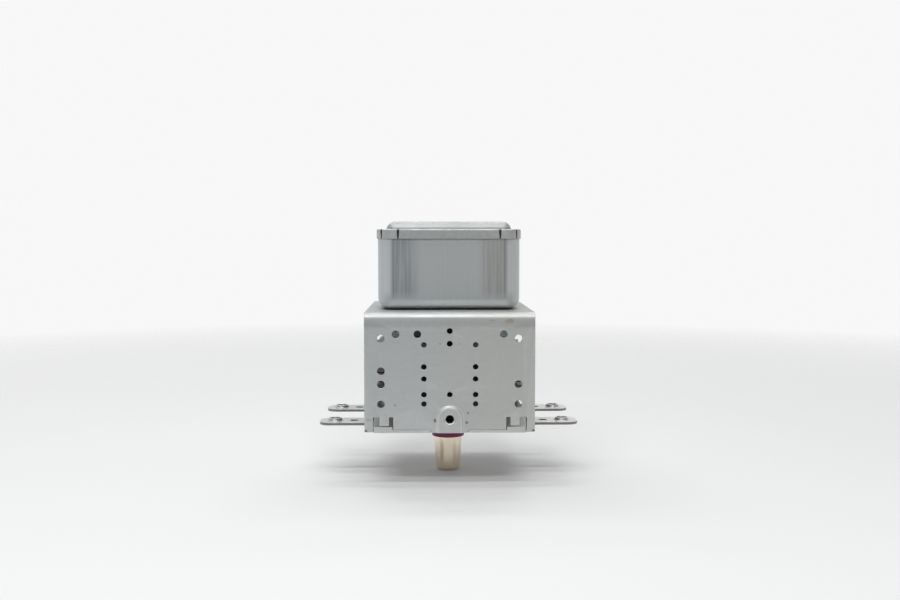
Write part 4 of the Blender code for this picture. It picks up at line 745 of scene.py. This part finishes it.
cap_points = [(0.0, -28.1)] + arc(4.65, -26.3, 1.8, -90, 0, 10) + [(7.1, -10.45)] + arc(6.95, -10.4, 0.15, 0, 90, 3)
cap_points += [(6.4, -10.25), (5.95, -26.3)] + arc(4.65, -26.3, 1.3, 0, -90, 8) + [(0.0, -27.6)]
cap = turn("drawn_cap", mm(cap_points), OUT_STEPS, False)
open_mesh(cap)
bpy.ops.mesh.select_all(action="SELECT")
for level in (-24.0, -20.5, -17.0, -13.5):
    bpy.ops.mesh.select_all(action="SELECT")
    bpy.ops.mesh.bisect(plane_co=(0, 0, level * MM), plane_no=(0, 0, 1))
close_mesh()
bpy.ops.object.shade_smooth_by_angle(angle=math.radians(40))
# painted reflections: light and dark upright bands on the cap's front
streaks = [((x * MM, -6.3 * MM, -17.5 * MM), (wide * MM, 3.0 * MM, 9.0 * MM), 0.15, strength, colour)
           for x, wide, strength, colour in ((-3.4, 1.6, 0.8, (0.50, 0.40, 0.31)), (5.4, 1.5, 0.8, (1.0, 0.96, 0.85)),
                                             (-5.8, 1.4, 0.8, (1.0, 0.96, 0.85)), (3.2, 0.8, 0.4, (0.62, 0.52, 0.41)))]
nickel = sheet_metal("drawn nickel", (0.88, 0.775, 0.62), (0.765, 0.66, 0.51), metallic=1.0, stretch=(1, 1, 0.12),
                     grain=900.0, cloud=90.0, contrast=0.5, roughness=0.25, spread=0.1, bump=0.01,
                     rubbed=(0.85, 0.80, 0.70), grime_and_shade=(0.12, 0.08, 0.05), marks=streaks)
finish_piece(cap, nickel, "nickel", "antenna_cap")

ring = turn("alumina_ring", mm([(6.25, -2.9), (6.25, -10.15), (8.0, -10.15)] + arc(8.2, -9.9, 0.25, -90, 0, 4)
                               + arc(8.05, -3.3, 0.4, 0, 90, 4)), OUT_STEPS)
bpy.ops.object.shade_smooth_by_angle(angle=math.radians(35))
purple = bpy.data.materials.new("purple alumina")
purple.use_nodes = True
tree = purple.node_tree
shader = tree.nodes["Principled BSDF"]
base = place_group(tree, plating, Bright=(0.22, 0.024, 0.092), Dull=(0.14, 0.012, 0.055), Grain=1800.0,
                   Cloud=220.0, Contrast=0.8, Roughness=0.40, Spread=0.2)
shader.inputs["Specular IOR Level"].default_value = 0.35
tree.links.new(base["Colour"], shader.inputs["Base Color"])
tree.links.new(base["Roughness"], shader.inputs["Roughness"])
tree.links.new(put(tree, "ShaderNodeBump", {"Height": base["Height"], "Strength": 0.3,
                                            "Distance": 0.03 * MM}).outputs[0], shader.inputs["Normal"])
finish_piece(ring, purple, "purple_alumina", "output_insulator")

cup = turn("output_cup", mm([(18.5, 15.2), (18.5, 14.7), (9.4, 14.7), (8.9, 14.2), (8.9, -2.3),
                             (8.6, -2.6), (7.2, -2.6), (7.2, -2.1), (8.4, -2.1), (8.4, 15.2)]), OUT_STEPS)
soften(cup, 0.08 * MM, 2, 40)
bright = sheet_metal("bright steel", (0.60, 0.60, 0.58), (0.46, 0.46, 0.44), metallic=1.0, grain=1200.0,
                     roughness=0.3, contrast=0.5, stretch=(1, 1, 0.3))
finish_piece(cup, bright, "bright_steel", "output_seal_cup")

sleeve = turn("gasket_sleeve_ring", mm([(9.2, -0.3), (9.2, -4.9)] + arc(9.7, -4.9, 0.5, 180, 270, 4)
                                       + [(11.6, -5.4), (11.6, -5.0), (9.7, -5.0)] + arc(9.75, -4.85, 0.15, 270, 180, 2)
                                       + [(9.6, -0.3)]), OUT_STEPS)
bpy.ops.object.shade_smooth_by_angle(angle=math.radians(35))
finish_piece(sleeve, bright, "bright_steel", "gasket_sleeve")

# Mesh gasket: a ring of knitted stainless wire round the sleeve, pressed
# against the waveguide. A dark core shows between the wires of its net.
core = turn("gasket_core", mm(arc(13.7, -3.0, 1.2, -90, 0, 4) + arc(13.7, -2.0, 1.2, 0, 90, 4)
                              + arc(11.4, -2.0, 1.2, 90, 180, 4) + arc(11.4, -3.0, 1.2, 180, 270, 4)), OUT_STEPS)
bpy.ops.object.shade_smooth_by_angle(angle=math.radians(60))
wool = sheet_metal("pressed wire", (0.22, 0.215, 0.20), (0.07, 0.07, 0.065), metallic=0.8, grain=2600.0,
                   cloud=300.0, contrast=1.0, roughness=0.55, bump=0.2)
finish_piece(core, wool, "mesh")
bpy.ops.mesh.primitive_torus_add(major_segments=150, minor_segments=22, major_radius=12.55 * MM,
                                 minor_radius=1.95 * MM, location=(0, 0, -2.5 * MM))
net = bpy.context.object
net.name = "knitted_gasket"
open_mesh(net)
for side in (-1, 1):
    pick("VERT", lambda v: (v.z + 2.5 * MM) * side > 0)
    bpy.ops.transform.resize(value=(1, 1, 1.03), center_override=(0, 0, -2.5 * MM))
bpy.ops.mesh.select_all(action="SELECT")
bpy.ops.mesh.poke()
pick("EDGE", lambda a, b: False)
wires = bmesh.from_edit_mesh(net.data)
for edge in wires.edges:
    edge.select_set(all(len(v.link_edges) > 4 for v in edge.verts))
bmesh.update_edit_mesh(net.data)
bpy.ops.mesh.dissolve_edges(use_verts=False)
close_mesh()
settle(net)
add_step(net, "WIREFRAME", thickness=0.17 * MM, offset=0.0, use_even_offset=False)
bpy.ops.object.shade_smooth_by_angle(angle=math.radians(80))
wire_steel = sheet_metal("gasket wire", (0.62, 0.61, 0.57), (0.34, 0.33, 0.30), metallic=1.0, grain=1500.0,
                         contrast=0.9, roughness=0.32, grime_and_shade_share=0.8)
finish_piece(net, wire_steel, "mesh", "mesh_gasket")

# ---------------------------------------------------------------------------
# Magnets: two pressed and sintered ferrite rings, ground on their flat faces.
magnet = turn("ferrite_ring", mm([(10.6, 0.5), (11.1, 0.0), (25.7, 0.0), (26.5, 0.8), (26.5, 11.9), (25.7, 12.7),
                                  (11.1, 12.7), (10.6, 12.2)]), 120)
soften(magnet, 0.25 * MM, 3, 30)
ferrite = sheet_metal("ferrite", (0.062, 0.062, 0.066), (0.026, 0.026, 0.029), metallic=0.25, grain=600.0,
                      cloud=90.0, contrast=0.9, roughness=0.52, spread=0.25, bump=0.12, grime_and_shade=(0.02, 0.02, 0.02),
                      rubbed=(0.16, 0.16, 0.16), rub=0.8)
for piece, node in zip(copies(magnet, [(0, 0, 1.7 * MM), (0, 0, 43.4 * MM)]), ("lower_magnet", "upper_magnet")):
    finish_piece(piece, ferrite, "ferrite", node)

# ---------------------------------------------------------------------------
# Anode: a turned copper cylinder, brazed to the pole pieces inside its rims.
# The vanes, straps, pole pieces and the cathode stand inside it.
anode = turn("anode_barrel", mm([(17.5, 17.4), (18.5, 17.4), (18.5, 15.5), (19.5, 15.5), (19.5, 42.3),
                                 (18.5, 42.3), (18.5, 40.4), (17.5, 40.4)]), 120)
soften(anode, 0.2 * MM, 3, 40)


def brazed_rims(tree, colour):
    """The furnace has left a dark oxide near the brazed rims."""
    place = put(tree, "ShaderNodeTexCoord").outputs["Object"]
    level = put(tree, "ShaderNodeSeparateXYZ", {"Vector": place}).outputs["Z"]
    dark = ramp(tree, maths(tree, "MULTIPLY", level, 10.0), [(0.18, 1.0), (0.20, 0.0), (0.36, 0.0), (0.385, 1.0)])
    return blend(tree, maths(tree, "MULTIPLY", dark, 0.9), colour, (0.035, 0.022, 0.016, 1.0))


copper = sheet_metal("drawn copper", (0.60, 0.27, 0.15), (0.22, 0.10, 0.06), metallic=1.0, stretch=(1, 1, 6),
                     grain=260.0, cloud=80.0, contrast=0.9, roughness=0.34, grime_and_shade=(0.06, 0.03, 0.02),
                     rubbed=(0.92, 0.62, 0.45), more=brazed_rims, deep=7.0 * MM)
finish_piece(anode, copper, "copper", "anode_cylinder")


def coat_nodes(coat, names):
    """Gives CAD solids that stay their procedural material."""
    for name in names:
        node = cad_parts[name]
        node.data.materials.clear()
        node.data.materials.append(coat)


coat_nodes(copper, [f"anode_vane_{n:02d}" for n in range(1, 11)]
           + ["strap_lower_inner", "strap_lower_outer", "strap_upper_inner", "strap_upper_outer",
              "antenna_lead", "exhaust_tube"])
soft_iron = sheet_metal("soft iron", (0.36, 0.35, 0.34), (0.24, 0.23, 0.22), grain=800.0, roughness=0.45)
coat_nodes(soft_iron, ["lower_pole_piece", "upper_pole_piece"])
refractory = sheet_metal("refractory metal", (0.40, 0.40, 0.41), (0.25, 0.25, 0.26), metallic=1.0, grain=1500.0,
                         roughness=0.42)
coat_nodes(refractory, ["filament", "lower_end_hat", "upper_end_hat", "centre_lead", "side_lead"])
coat_nodes(bright, ["exhaust_fitting", "stem_seal_cup", "centre_terminal", "side_terminal"])
white_alumina = sheet_metal("white alumina", (0.80, 0.78, 0.74), (0.70, 0.67, 0.62), metallic=0.0, grain=1400.0,
                            roughness=0.45, contrast=0.6, grime_and_shade=(0.4, 0.36, 0.3), rubbed=(0.85, 0.84, 0.8))
coat_nodes(white_alumina, ["stem_insulator"])

# ---------------------------------------------------------------------------
# Cooling fins: five aluminium sheets pressed on the anode. Each has a drawn
# collar round its hole, and its turned-up tongues bear against the legs.
FIN_X, FIN_Y = 37.5 * MM, 45.6 * MM


def on_fin(x, y):
    x = abs(x) / MM
    y = abs(y) / MM
    return y < 43.8 or (x < 35.5 and not 9.4 < x < 15.4)


lines_x = [side * x * MM for side in (-1, 1) for x in (9.4, 15.4, 35.5)]
fin = plate_blank("pressed_fin", (-FIN_X, FIN_X), (-FIN_Y, FIN_Y), lines_x, (-43.8 * MM, 43.8 * MM), on_fin)
pick("EDGE", lambda a, b: near(abs(a.y), FIN_Y) and near(a.y, b.y))
extrude(z=2.7 * MM)
pick("EDGE", lambda a, b: near(abs(a.y), FIN_Y) and near(a.y, b.y) and near(a.z, 0) and near(b.z, 0))
bpy.ops.mesh.bevel(affect="EDGES", offset=0.9 * MM, segments=5, profile=0.5)
round_corners(lambda v: near(abs(v.x), FIN_X) and near(v.z, 0), 1.5 * MM, 4)
bpy.ops.mesh.select_all(action="SELECT")
bpy.ops.mesh.normals_make_consistent(inside=True)
close_mesh()
add_step(fin, "SOLIDIFY", thickness=0.6 * MM, offset=0.0, use_even_offset=True)
neck = turn("neck", mm([(0, 0.0), (21.4, 0.0)] + arc(21.4, 1.0, 0.7, -90, -180, 4) + [(20.7, 2.1), (0, 2.1)]), 96, False)
cut(fin, neck, "UNION")
drill(fin, [(0, 0, 19.8 * MM)], "Z", 0, 10 * MM, 120)
soften(fin, 0.06 * MM, 2, 60)


def fin_painted_shade(tree, colour):
    """Darker round the anode; painted shade on the sheet near the legs and on its upper faces towards the front."""
    coordinates = put(tree, "ShaderNodeTexCoord").outputs
    place = coordinates["Object"]
    parts = put(tree, "ShaderNodeSeparateXYZ", {"Vector": place}).outputs
    facing = put(tree, "ShaderNodeSeparateXYZ", {"Vector": coordinates["Normal"]}).outputs["Z"]
    flat = put(tree, "ShaderNodeVectorMath", {0: place, 1: (1.0, 1.0, 0.0)}, operation="MULTIPLY").outputs[0]
    away = put(tree, "ShaderNodeVectorMath", {0: flat}, operation="LENGTH").outputs["Value"]
    near_anode = put(tree, "ShaderNodeMapRange", {"Value": away, "From Min": 25.5 * MM, "From Max": 20.8 * MM}).outputs[0]
    # painted shade near the legs
    near_legs_shade = put(tree, "ShaderNodeMapRange", {"Value": maths(tree, "ABSOLUTE", parts["Y"]), "From Min": 36.0 * MM,
                                             "From Max": 42.0 * MM}).outputs[0]
    near_legs_shade = maths(tree, "MULTIPLY", near_legs_shade, maths(tree, "LESS_THAN", parts["Z"], 37.0 * MM))
    # painted shade on the upper faces, stronger towards the front
    front_shade_share = put(tree, "ShaderNodeMapRange", {"Value": parts["Y"], "From Min": -14.0 * MM, "From Max": -24.0 * MM,
                                               "To Min": 0.08}).outputs[0]
    upward_shade = maths(tree, "MULTIPLY", maths(tree, "GREATER_THAN", facing, 0.6), front_shade_share)
    share = maths(tree, "MAXIMUM", maths(tree, "MAXIMUM", near_anode, near_legs_shade), upward_shade)
    colour = blend(tree, maths(tree, "MULTIPLY", share, 0.92), colour, (0.07, 0.066, 0.058, 1.0))
    rubbed = maths(tree, "MULTIPLY", maths(tree, "GREATER_THAN", parts["Z"], 38.2 * MM),
                   maths(tree, "GREATER_THAN", maths(tree, "ABSOLUTE", parts["Y"]), 44.0 * MM))
    return blend(tree, maths(tree, "MULTIPLY", rubbed, 0.9), colour, (0.97, 0.98, 0.98, 1.0))


aluminium = sheet_metal("rolled aluminium", (0.72, 0.73, 0.74), (0.58, 0.59, 0.60), metallic=1.0,
                        stretch=(0.12, 1, 1), grain=900.0, contrast=0.5, roughness=0.32, spread=0.15)
fin_metal = sheet_metal("aluminium with painted shade", (0.72, 0.73, 0.74), (0.58, 0.59, 0.60), metallic=1.0,
                        stretch=(0.12, 1, 1), grain=900.0, contrast=0.5, roughness=0.36, spread=0.15,
                        rub=0.1, more=fin_painted_shade)
fins = copies(fin, [(0, 0, z * MM) for z in (20.1, 24.5, 28.9, 33.3, 37.7)])
for number, piece in enumerate(fins):
    finish_piece(piece, fin_metal, "aluminium", f"cooling_fin_{number + 1}")

# ---------------------------------------------------------------------------
# Filter box: deep drawn from zinc-plated sheet and riveted on the yoke. The
# draw leaves upright streaks at its rounded corners.
BOX_X, BOX_FRONT, BOX_BACK = 35.35 * MM, -31.0 * MM, 38.0 * MM
BOX_LOW, BOX_RIM = 58.3 * MM, 97.2 * MM

bpy.ops.mesh.primitive_cube_add(size=1, location=(0, (BOX_FRONT + BOX_BACK) / 2, (BOX_LOW + BOX_RIM) / 2))
box = bpy.context.object
box.name = "drawn_box"
box.scale = (2 * BOX_X, BOX_BACK - BOX_FRONT, BOX_RIM - BOX_LOW)
settle(box)
open_mesh(box)
pick("FACE", lambda centre, normal: normal.z > 0.5)
bpy.ops.mesh.delete(type="FACE")
pick("EDGE", lambda a, b: near(a.x, b.x) and near(a.y, b.y))
bpy.ops.mesh.bevel(affect="EDGES", offset=8.0 * MM, segments=10, profile=0.5)
pick("EDGE", lambda a, b: near(a.z, BOX_LOW) and near(b.z, BOX_LOW))
bpy.ops.mesh.bevel(affect="EDGES", offset=5.5 * MM, segments=8, profile=0.5)
close_mesh()
add_step(box, "SOLIDIFY", thickness=0.5 * MM, offset=-1.0, use_even_offset=True)
drill(box, [(0, 0, 10.0 * MM)], "Z", BOX_LOW, 3 * MM, 72)
drill(box, [(-24 * MM, 21 * MM, 1.4 * MM), (24 * MM, 21 * MM, 1.4 * MM)], "Z", BOX_LOW, 3 * MM, 24)


def stadium(name, width, height, y, centre_z=77.3 * MM):
    """A flat blank with half-round ends, standing across Y between two distances."""
    blank = plate_blank(name, (-width / 2, width / 2), (-height / 2, height / 2))
    round_corners(lambda v: True, height / 2 - 0.01 * MM, 12)
    bpy.ops.mesh.select_all(action="SELECT")
    bpy.ops.mesh.remove_doubles(threshold=0.03 * MM)
    close_mesh()
    blank.rotation_euler = (math.pi / 2, 0, 0)
    blank.location = (0, (y[0] + y[1]) / 2, centre_z)
    settle(blank)
    add_step(blank, "SOLIDIFY", thickness=y[1] - y[0], offset=0.0)
    return blank


cut(box, stadium("window", 28.6 * MM, 13.6 * MM, (35 * MM, 41 * MM)))
corners = [(side * 17.6 * MM, 77.3 * MM + up * 7.6 * MM, 1.4 * MM) for side in (-1, 1) for up in (-1, 1)]
drill(box, corners, "Y", BOX_BACK, 3 * MM, 24)
soften(box, 0.06 * MM, 2, 60, 40)


def box_streaks_and_painted_light(tree, colour):
    """Dull, streaked bands beside the drawn corners, tinted cooler on the left and warmer on the right as painted
    light; painted shade and highlights at the corners, a painted highlight on the bottom rounding, and painted shade
    under the lid's skirt.
    """
    place = put(tree, "ShaderNodeTexCoord").outputs["Object"]
    parts = put(tree, "ShaderNodeSeparateXYZ", {"Vector": place}).outputs
    stops = [(0.28, 0.0), (0.39, 1.0), (0.545, 1.0), (0.57, 0.0)]
    across = maths(tree, "MULTIPLY", maths(tree, "ABSOLUTE", parts["X"]), 20.0)
    along = maths(tree, "MULTIPLY", maths(tree, "ABSOLUTE", maths(tree, "SUBTRACT", parts["Y"], 3.5 * MM)), 20.0)
    band = maths(tree, "MAXIMUM", ramp(tree, across, stops), ramp(tree, along, stops))
    upper = ramp(tree, maths(tree, "MULTIPLY", parts["Z"], 10.0), [(0.625, 0.0), (0.675, 1.0)])
    fine = put(tree, "ShaderNodeVectorMath", {0: place, 1: (1.0, 1.0, 0.03)}, operation="MULTIPLY").outputs[0]
    lines = put(tree, "ShaderNodeTexNoise", {"Vector": fine, "Scale": 800.0, "Detail": 3.0}).outputs[0]
    lines = maths(tree, "MULTIPLY_ADD", ramp(tree, lines, [(0.4, 0.0), (0.6, 1.0)]), 0.5, 0.5)
    share = maths(tree, "MULTIPLY", maths(tree, "MULTIPLY", band, upper), lines)
    # the bands' tint, cooler on the left and warmer on the right, is painted light
    tone = ramp(tree, maths(tree, "MULTIPLY_ADD", parts["X"], 10.0, 0.5), [(0.3, (0.31, 0.345, 0.36)),
                                                                           (0.7, (0.40, 0.40, 0.37))])
    colour = blend(tree, maths(tree, "MULTIPLY", share, 0.85), colour, tone)
    # painted shade line where the front turns into each corner
    line = maths(tree, "MULTIPLY", ramp(tree, across, [(0.53, 0.0), (0.55, 0.55), (0.57, 0.0)]), upper)
    colour = blend(tree, line, colour, (0.20, 0.22, 0.23, 1.0))
    # painted highlight on the rounded corners
    light = maths(tree, "MULTIPLY", ramp(tree, across, [(0.57, 0.0), (0.59, 0.6), (0.63, 0.5), (0.66, 0.0)]), upper)
    colour = blend(tree, light, colour, (0.86, 0.88, 0.88, 1.0))
    # painted highlight on the bottom rounding
    bottom_highlight = ramp(tree, maths(tree, "MULTIPLY", parts["Z"], 10.0), [(0.598, 0.85), (0.612, 0.12), (0.63, 0.0)])
    colour = blend(tree, bottom_highlight, colour, (0.90, 0.92, 0.92, 1.0))
    # painted shade under the lid's skirt
    skirt = ramp(tree, maths(tree, "MULTIPLY", parts["Z"], 10.0), [(0.929, 0.0), (0.933, 1.0)])
    return blend(tree, skirt, colour, (0.03, 0.03, 0.028, 1.0))


box_zinc = sheet_metal("drawn zinc", (0.595, 0.62, 0.63), (0.50, 0.53, 0.54), metallic=0.8, stretch=(1, 1, 0.045),
                       grain=900.0, cloud=28.0, contrast=0.45, roughness=0.47, spread=0.08, grime_and_shade_share=0.1, more=box_streaks_and_painted_light)
finish_piece(box, box_zinc, "box_zinc", "filter_box")

# ---------------------------------------------------------------------------
# Lid: pressed from thinner sheet, with a raised crown. Its skirt is slit round
# each corner so that it can be pushed over the box.
LID_TOP = 97.9 * MM
LID_X, LID_FRONT, LID_BACK = 36.0 * MM, -31.65 * MM, 38.65 * MM
ROOT = 0.05 * MM

bpy.ops.mesh.primitive_cube_add(size=1, location=(0, (LID_FRONT + LID_BACK) / 2, LID_TOP - 2.35 * MM))
lid = bpy.context.object
lid.name = "pressed_lid"
lid.scale = (2 * LID_X, LID_BACK - LID_FRONT, 4.7 * MM)
settle(lid)
open_mesh(lid)
pick("FACE", lambda centre, normal: normal.z < -0.5)
bpy.ops.mesh.delete(type="FACE")
pick("EDGE", lambda a, b: near(a.x, b.x) and near(a.y, b.y))
bpy.ops.mesh.bevel(affect="EDGES", offset=8.65 * MM, segments=10, profile=0.5)
pick("FACE", lambda centre, normal: normal.z > 0.5)
bpy.ops.mesh.inset(thickness=4.9 * MM, depth=ROOT)
extrude(z=3.9 * MM - ROOT)
bpy.ops.transform.resize(value=(0.975, 0.975, 1), center_override=(0, (LID_FRONT + LID_BACK) / 2, LID_TOP))
for level, radius, steps in ((LID_TOP + 3.9 * MM, 3.3 * MM, 8), (LID_TOP + ROOT, 0.5 * MM, 4), (LID_TOP, 0.55 * MM, 4)):
    pick("EDGE", lambda a, b: near(a.z, level, 0.01 * MM) and near(b.z, level, 0.01 * MM) and near(a.z, b.z, 0.01 * MM))
    bpy.ops.mesh.bevel(affect="EDGES", offset=radius, segments=steps, profile=0.5)
close_mesh()
add_step(lid, "SOLIDIFY", thickness=0.4 * MM, offset=-1.0, use_even_offset=True)


def slit_tool(x, y, angle):
    """A wedge for one slit, wider at its upper end."""
    top = LID_TOP + 0.6 * MM
    low = LID_TOP - 7.7 * MM
    bpy.ops.mesh.primitive_cube_add(size=1, location=(0, 0, (top + low) / 2))
    wedge = bpy.context.object
    wedge.scale = (0.34 * MM, 3.0 * MM, top - low)
    settle(wedge)
    open_mesh(wedge)
    pick("VERT", lambda v: near(v.z, top))
    bpy.ops.transform.resize(value=(4.2, 1, 1), center_override=(0, 0, top))
    close_mesh()
    wedge.rotation_euler = (0, 0, angle)
    wedge.location = (x, y, 0)
    settle(wedge)
    return wedge


wedges = []
for side in (-1, 1):
    for y, way in ((LID_FRONT, -1), (LID_BACK, 1)):
        centre_x = side * (LID_X - 8.65 * MM)
        centre_y = y - way * 8.65 * MM
        wedges.append(slit_tool(centre_x + side * 6.116 * MM, centre_y + way * 6.116 * MM,
                                math.atan2(way, side) - math.pi / 2))
        wedges.append(slit_tool(centre_x - side * 2.2 * MM, y, 0.0))
        wedges.append(slit_tool(side * LID_X, centre_y - way * 2.2 * MM, math.pi / 2))
cut(lid, join(wedges))
bpy.ops.object.select_all(action="DESELECT")
bpy.context.view_layer.objects.active = lid
lid.select_set(True)
bpy.ops.object.shade_smooth_by_angle(angle=math.radians(35))
add_step(lid, "WEIGHTED_NORMAL", keep_sharp=True)


def lid_painted_light(tree, colour):
    """Painted shade on the skirt, less at its corners, a painted shade line at the crown's root, and dashes of painted
    highlight on the flat rim.
    """
    place = put(tree, "ShaderNodeTexCoord").outputs["Object"]
    level = put(tree, "ShaderNodeSeparateXYZ", {"Vector": place}).outputs["Z"]
    low = put(tree, "ShaderNodeMapRange", {"Value": level, "From Min": LID_TOP, "From Max": LID_TOP - 0.8 * MM})
    aside = maths(tree, "ABSOLUTE", put(tree, "ShaderNodeSeparateXYZ", {"Vector": place}).outputs["X"])
    share = ramp(tree, maths(tree, "MULTIPLY", aside, 20.0), [(0.50, 0.7), (0.56, 0.25)])
    colour = blend(tree, maths(tree, "MULTIPLY", low.outputs[0], share), colour, (0.33, 0.345, 0.345, 1.0))
    # painted shade line at the crown's root
    root = ramp(tree, maths(tree, "MULTIPLY", level, 10.0), [(0.979, 0.0), (0.9812, 0.6), (0.984, 0.6), (0.988, 0.0)])
    colour = blend(tree, root, colour, (0.20, 0.205, 0.20, 1.0))
    # dashes of painted highlight along the flat rim of the top
    wear_and_painted_light = ramp(tree, put(tree, "ShaderNodeTexNoise", {"Vector": place, "Scale": 330.0, "Detail": 1.0}).outputs[0],
                [(0.42, 0.0), (0.58, 0.65)])
    rim = ramp(tree, maths(tree, "MULTIPLY", level, 10.0), [(0.973, 0.0), (0.976, 1.0), (0.979, 1.0), (0.980, 0.0)])
    return blend(tree, maths(tree, "MULTIPLY", rim, wear_and_painted_light), colour, (0.92, 0.93, 0.92, 1.0))


lid_zinc = sheet_metal("pressed zinc", (0.56, 0.575, 0.57), (0.45, 0.465, 0.465), metallic=0.7, stretch=(0.3, 1, 1),
                       grain=800.0, contrast=0.6, roughness=0.56, more=lid_painted_light)
finish_piece(lid, lid_zinc, "box_zinc", "filter_lid")

# ---------------------------------------------------------------------------
# Feed-through capacitor: a plate riveted on the box's back carries the resin
# body inside, the moulded shroud outside, and two blades for the connector.
body = stadium("resin_body", 28 * MM, 13 * MM, (27.5 * MM, 38.0 * MM))
flange = plate_blank("capacitor_flange", (-21 * MM, 21 * MM), (-11 * MM, 11 * MM))
round_corners(lambda v: True, 3.0 * MM, 8)
close_mesh()
flange.rotation_euler = (math.pi / 2, 0, 0)
flange.location = (0, 38.7 * MM, 77.3 * MM)
settle(flange)
add_step(flange, "SOLIDIFY", thickness=0.8 * MM, offset=0.0)
shroud = stadium("moulded_shroud", 32 * MM, 15 * MM, (39.4 * MM, 52.0 * MM))
cut(shroud, stadium("socket", 29 * MM, 12 * MM, (41.4 * MM, 56 * MM)))


def blade_slots():
    slots = []
    for x in (-6.5, 6.5):
        bpy.ops.mesh.primitive_cube_add(size=1, location=(x * MM, 33 * MM, 77.3 * MM))
        slot = bpy.context.object
        slot.scale = (1.4 * MM, 22 * MM, 6.9 * MM)
        settle(slot)
        slots.append(slot)
    return join(slots)


for carrier in (body, flange, shroud):
    cut(carrier, blade_slots())
drill(flange, corners, "Y", 38.7 * MM, 3 * MM, 24)
soften(body, 0.4 * MM, 3, 60)
soften(flange, 0.12 * MM, 2, 60)
soften(shroud, 0.3 * MM, 3, 60)
resin = sheet_metal("potting resin", (0.36, 0.10, 0.055), (0.24, 0.06, 0.035), metallic=0.0, grain=500.0,
                    cloud=150.0, roughness=0.5, contrast=0.7, grime_and_shade=(0.08, 0.03, 0.02), rubbed=(0.45, 0.18, 0.12))
cream = sheet_metal("cream polyester", (0.74, 0.68, 0.55), (0.66, 0.59, 0.46), metallic=0.0, grain=1500.0,
                    cloud=60.0, contrast=0.6, roughness=0.42, grime_and_shade=(0.3, 0.26, 0.18), rubbed=(0.82, 0.78, 0.66),
                    bump=0.03)
finish_piece(body, resin, "potting_resin", "capacitor_body")
finish_piece(flange, bright, "bright_steel", "capacitor_plate")
finish_piece(shroud, cream, "cream_polyester", "connector_shroud")

# Terminal blades: stamped and plated tongues with chamfered ends, which a
# push-on connector slides over.
for side, label in ((-1, "left"), (1, "right")):
    bpy.ops.mesh.primitive_cube_add(size=1, location=(side * 6.5 * MM, 36.45 * MM, 77.3 * MM))
    blade = bpy.context.object
    blade.name = f"tinned_blade_{label}"
    blade.scale = (0.8 * MM, 27.9 * MM, 6.3 * MM)
    settle(blade)
    open_mesh(blade)
    pick("EDGE", lambda a, b: near(a.y, 50.4 * MM) and near(b.y, 50.4 * MM))
    bpy.ops.mesh.bevel(affect="EDGES", offset=0.25 * MM, segments=2, profile=0.5)
    close_mesh()
    soften(blade, 0.06 * MM, 2, 60)
    finish_piece(blade, bright, "bright_steel", f"terminal_blade_{label}")

# ---------------------------------------------------------------------------
# Rivets: aluminium, with a domed head outside and a rolled one inside. Four
# hold the capacitor's plate, and two hold the box on the yoke.
def rivet(name, low, high):
    points = [(0, low - 0.8)] + arc(0.9, low - 0.25, 0.55, -90, -20, 4) + [(1.9, low), (1.1, low), (1.1, high),
                                                                           (2.0, high), (2.0, high + 0.2)]
    points += arc(0.95, high + 0.1, 0.7, 25, 90, 5) + [(0, high + 0.8)]
    made = turn(name, mm(points), 32, False)
    soften(made, 0.05 * MM, 2, 50)
    return made


places = [(side * 17.6 * MM, up * 7.6 * MM) for side in (-1, 1) for up in (-1, 1)]
for number, (x, z) in enumerate(places):
    piece = rivet(f"flange_rivet_{number + 1}", 37.2, 39.4)
    piece.rotation_euler = (-math.pi / 2, 0, 0)
    piece.location = (x, 0, 77.3 * MM + z)
    finish_piece(piece, aluminium, "aluminium", f"capacitor_rivet_{number + 1}")
for number, x in enumerate((-24.0, 24.0)):
    piece = rivet(f"yoke_rivet_{number + 1}", 56.1, 59.1)
    piece.location = (x * MM, 21.0 * MM, 0)
    finish_piece(piece, aluminium, "aluminium", f"box_rivet_{number + 1}")

# ---------------------------------------------------------------------------
# Chokes: enamelled copper wire on ferrite rods, between stem and capacitor.
enamel = sheet_metal("enamelled wire", (0.62, 0.25, 0.10), (0.42, 0.15, 0.06), metallic=0.8, grain=600.0,
                     roughness=0.22, contrast=0.6, grime_and_shade=(0.1, 0.04, 0.02), rubbed=(0.8, 0.45, 0.28))
coat_nodes(enamel, ["choke_coil_left", "choke_coil_right"])
coat_nodes(ferrite, ["choke_core_left", "choke_core_right"])
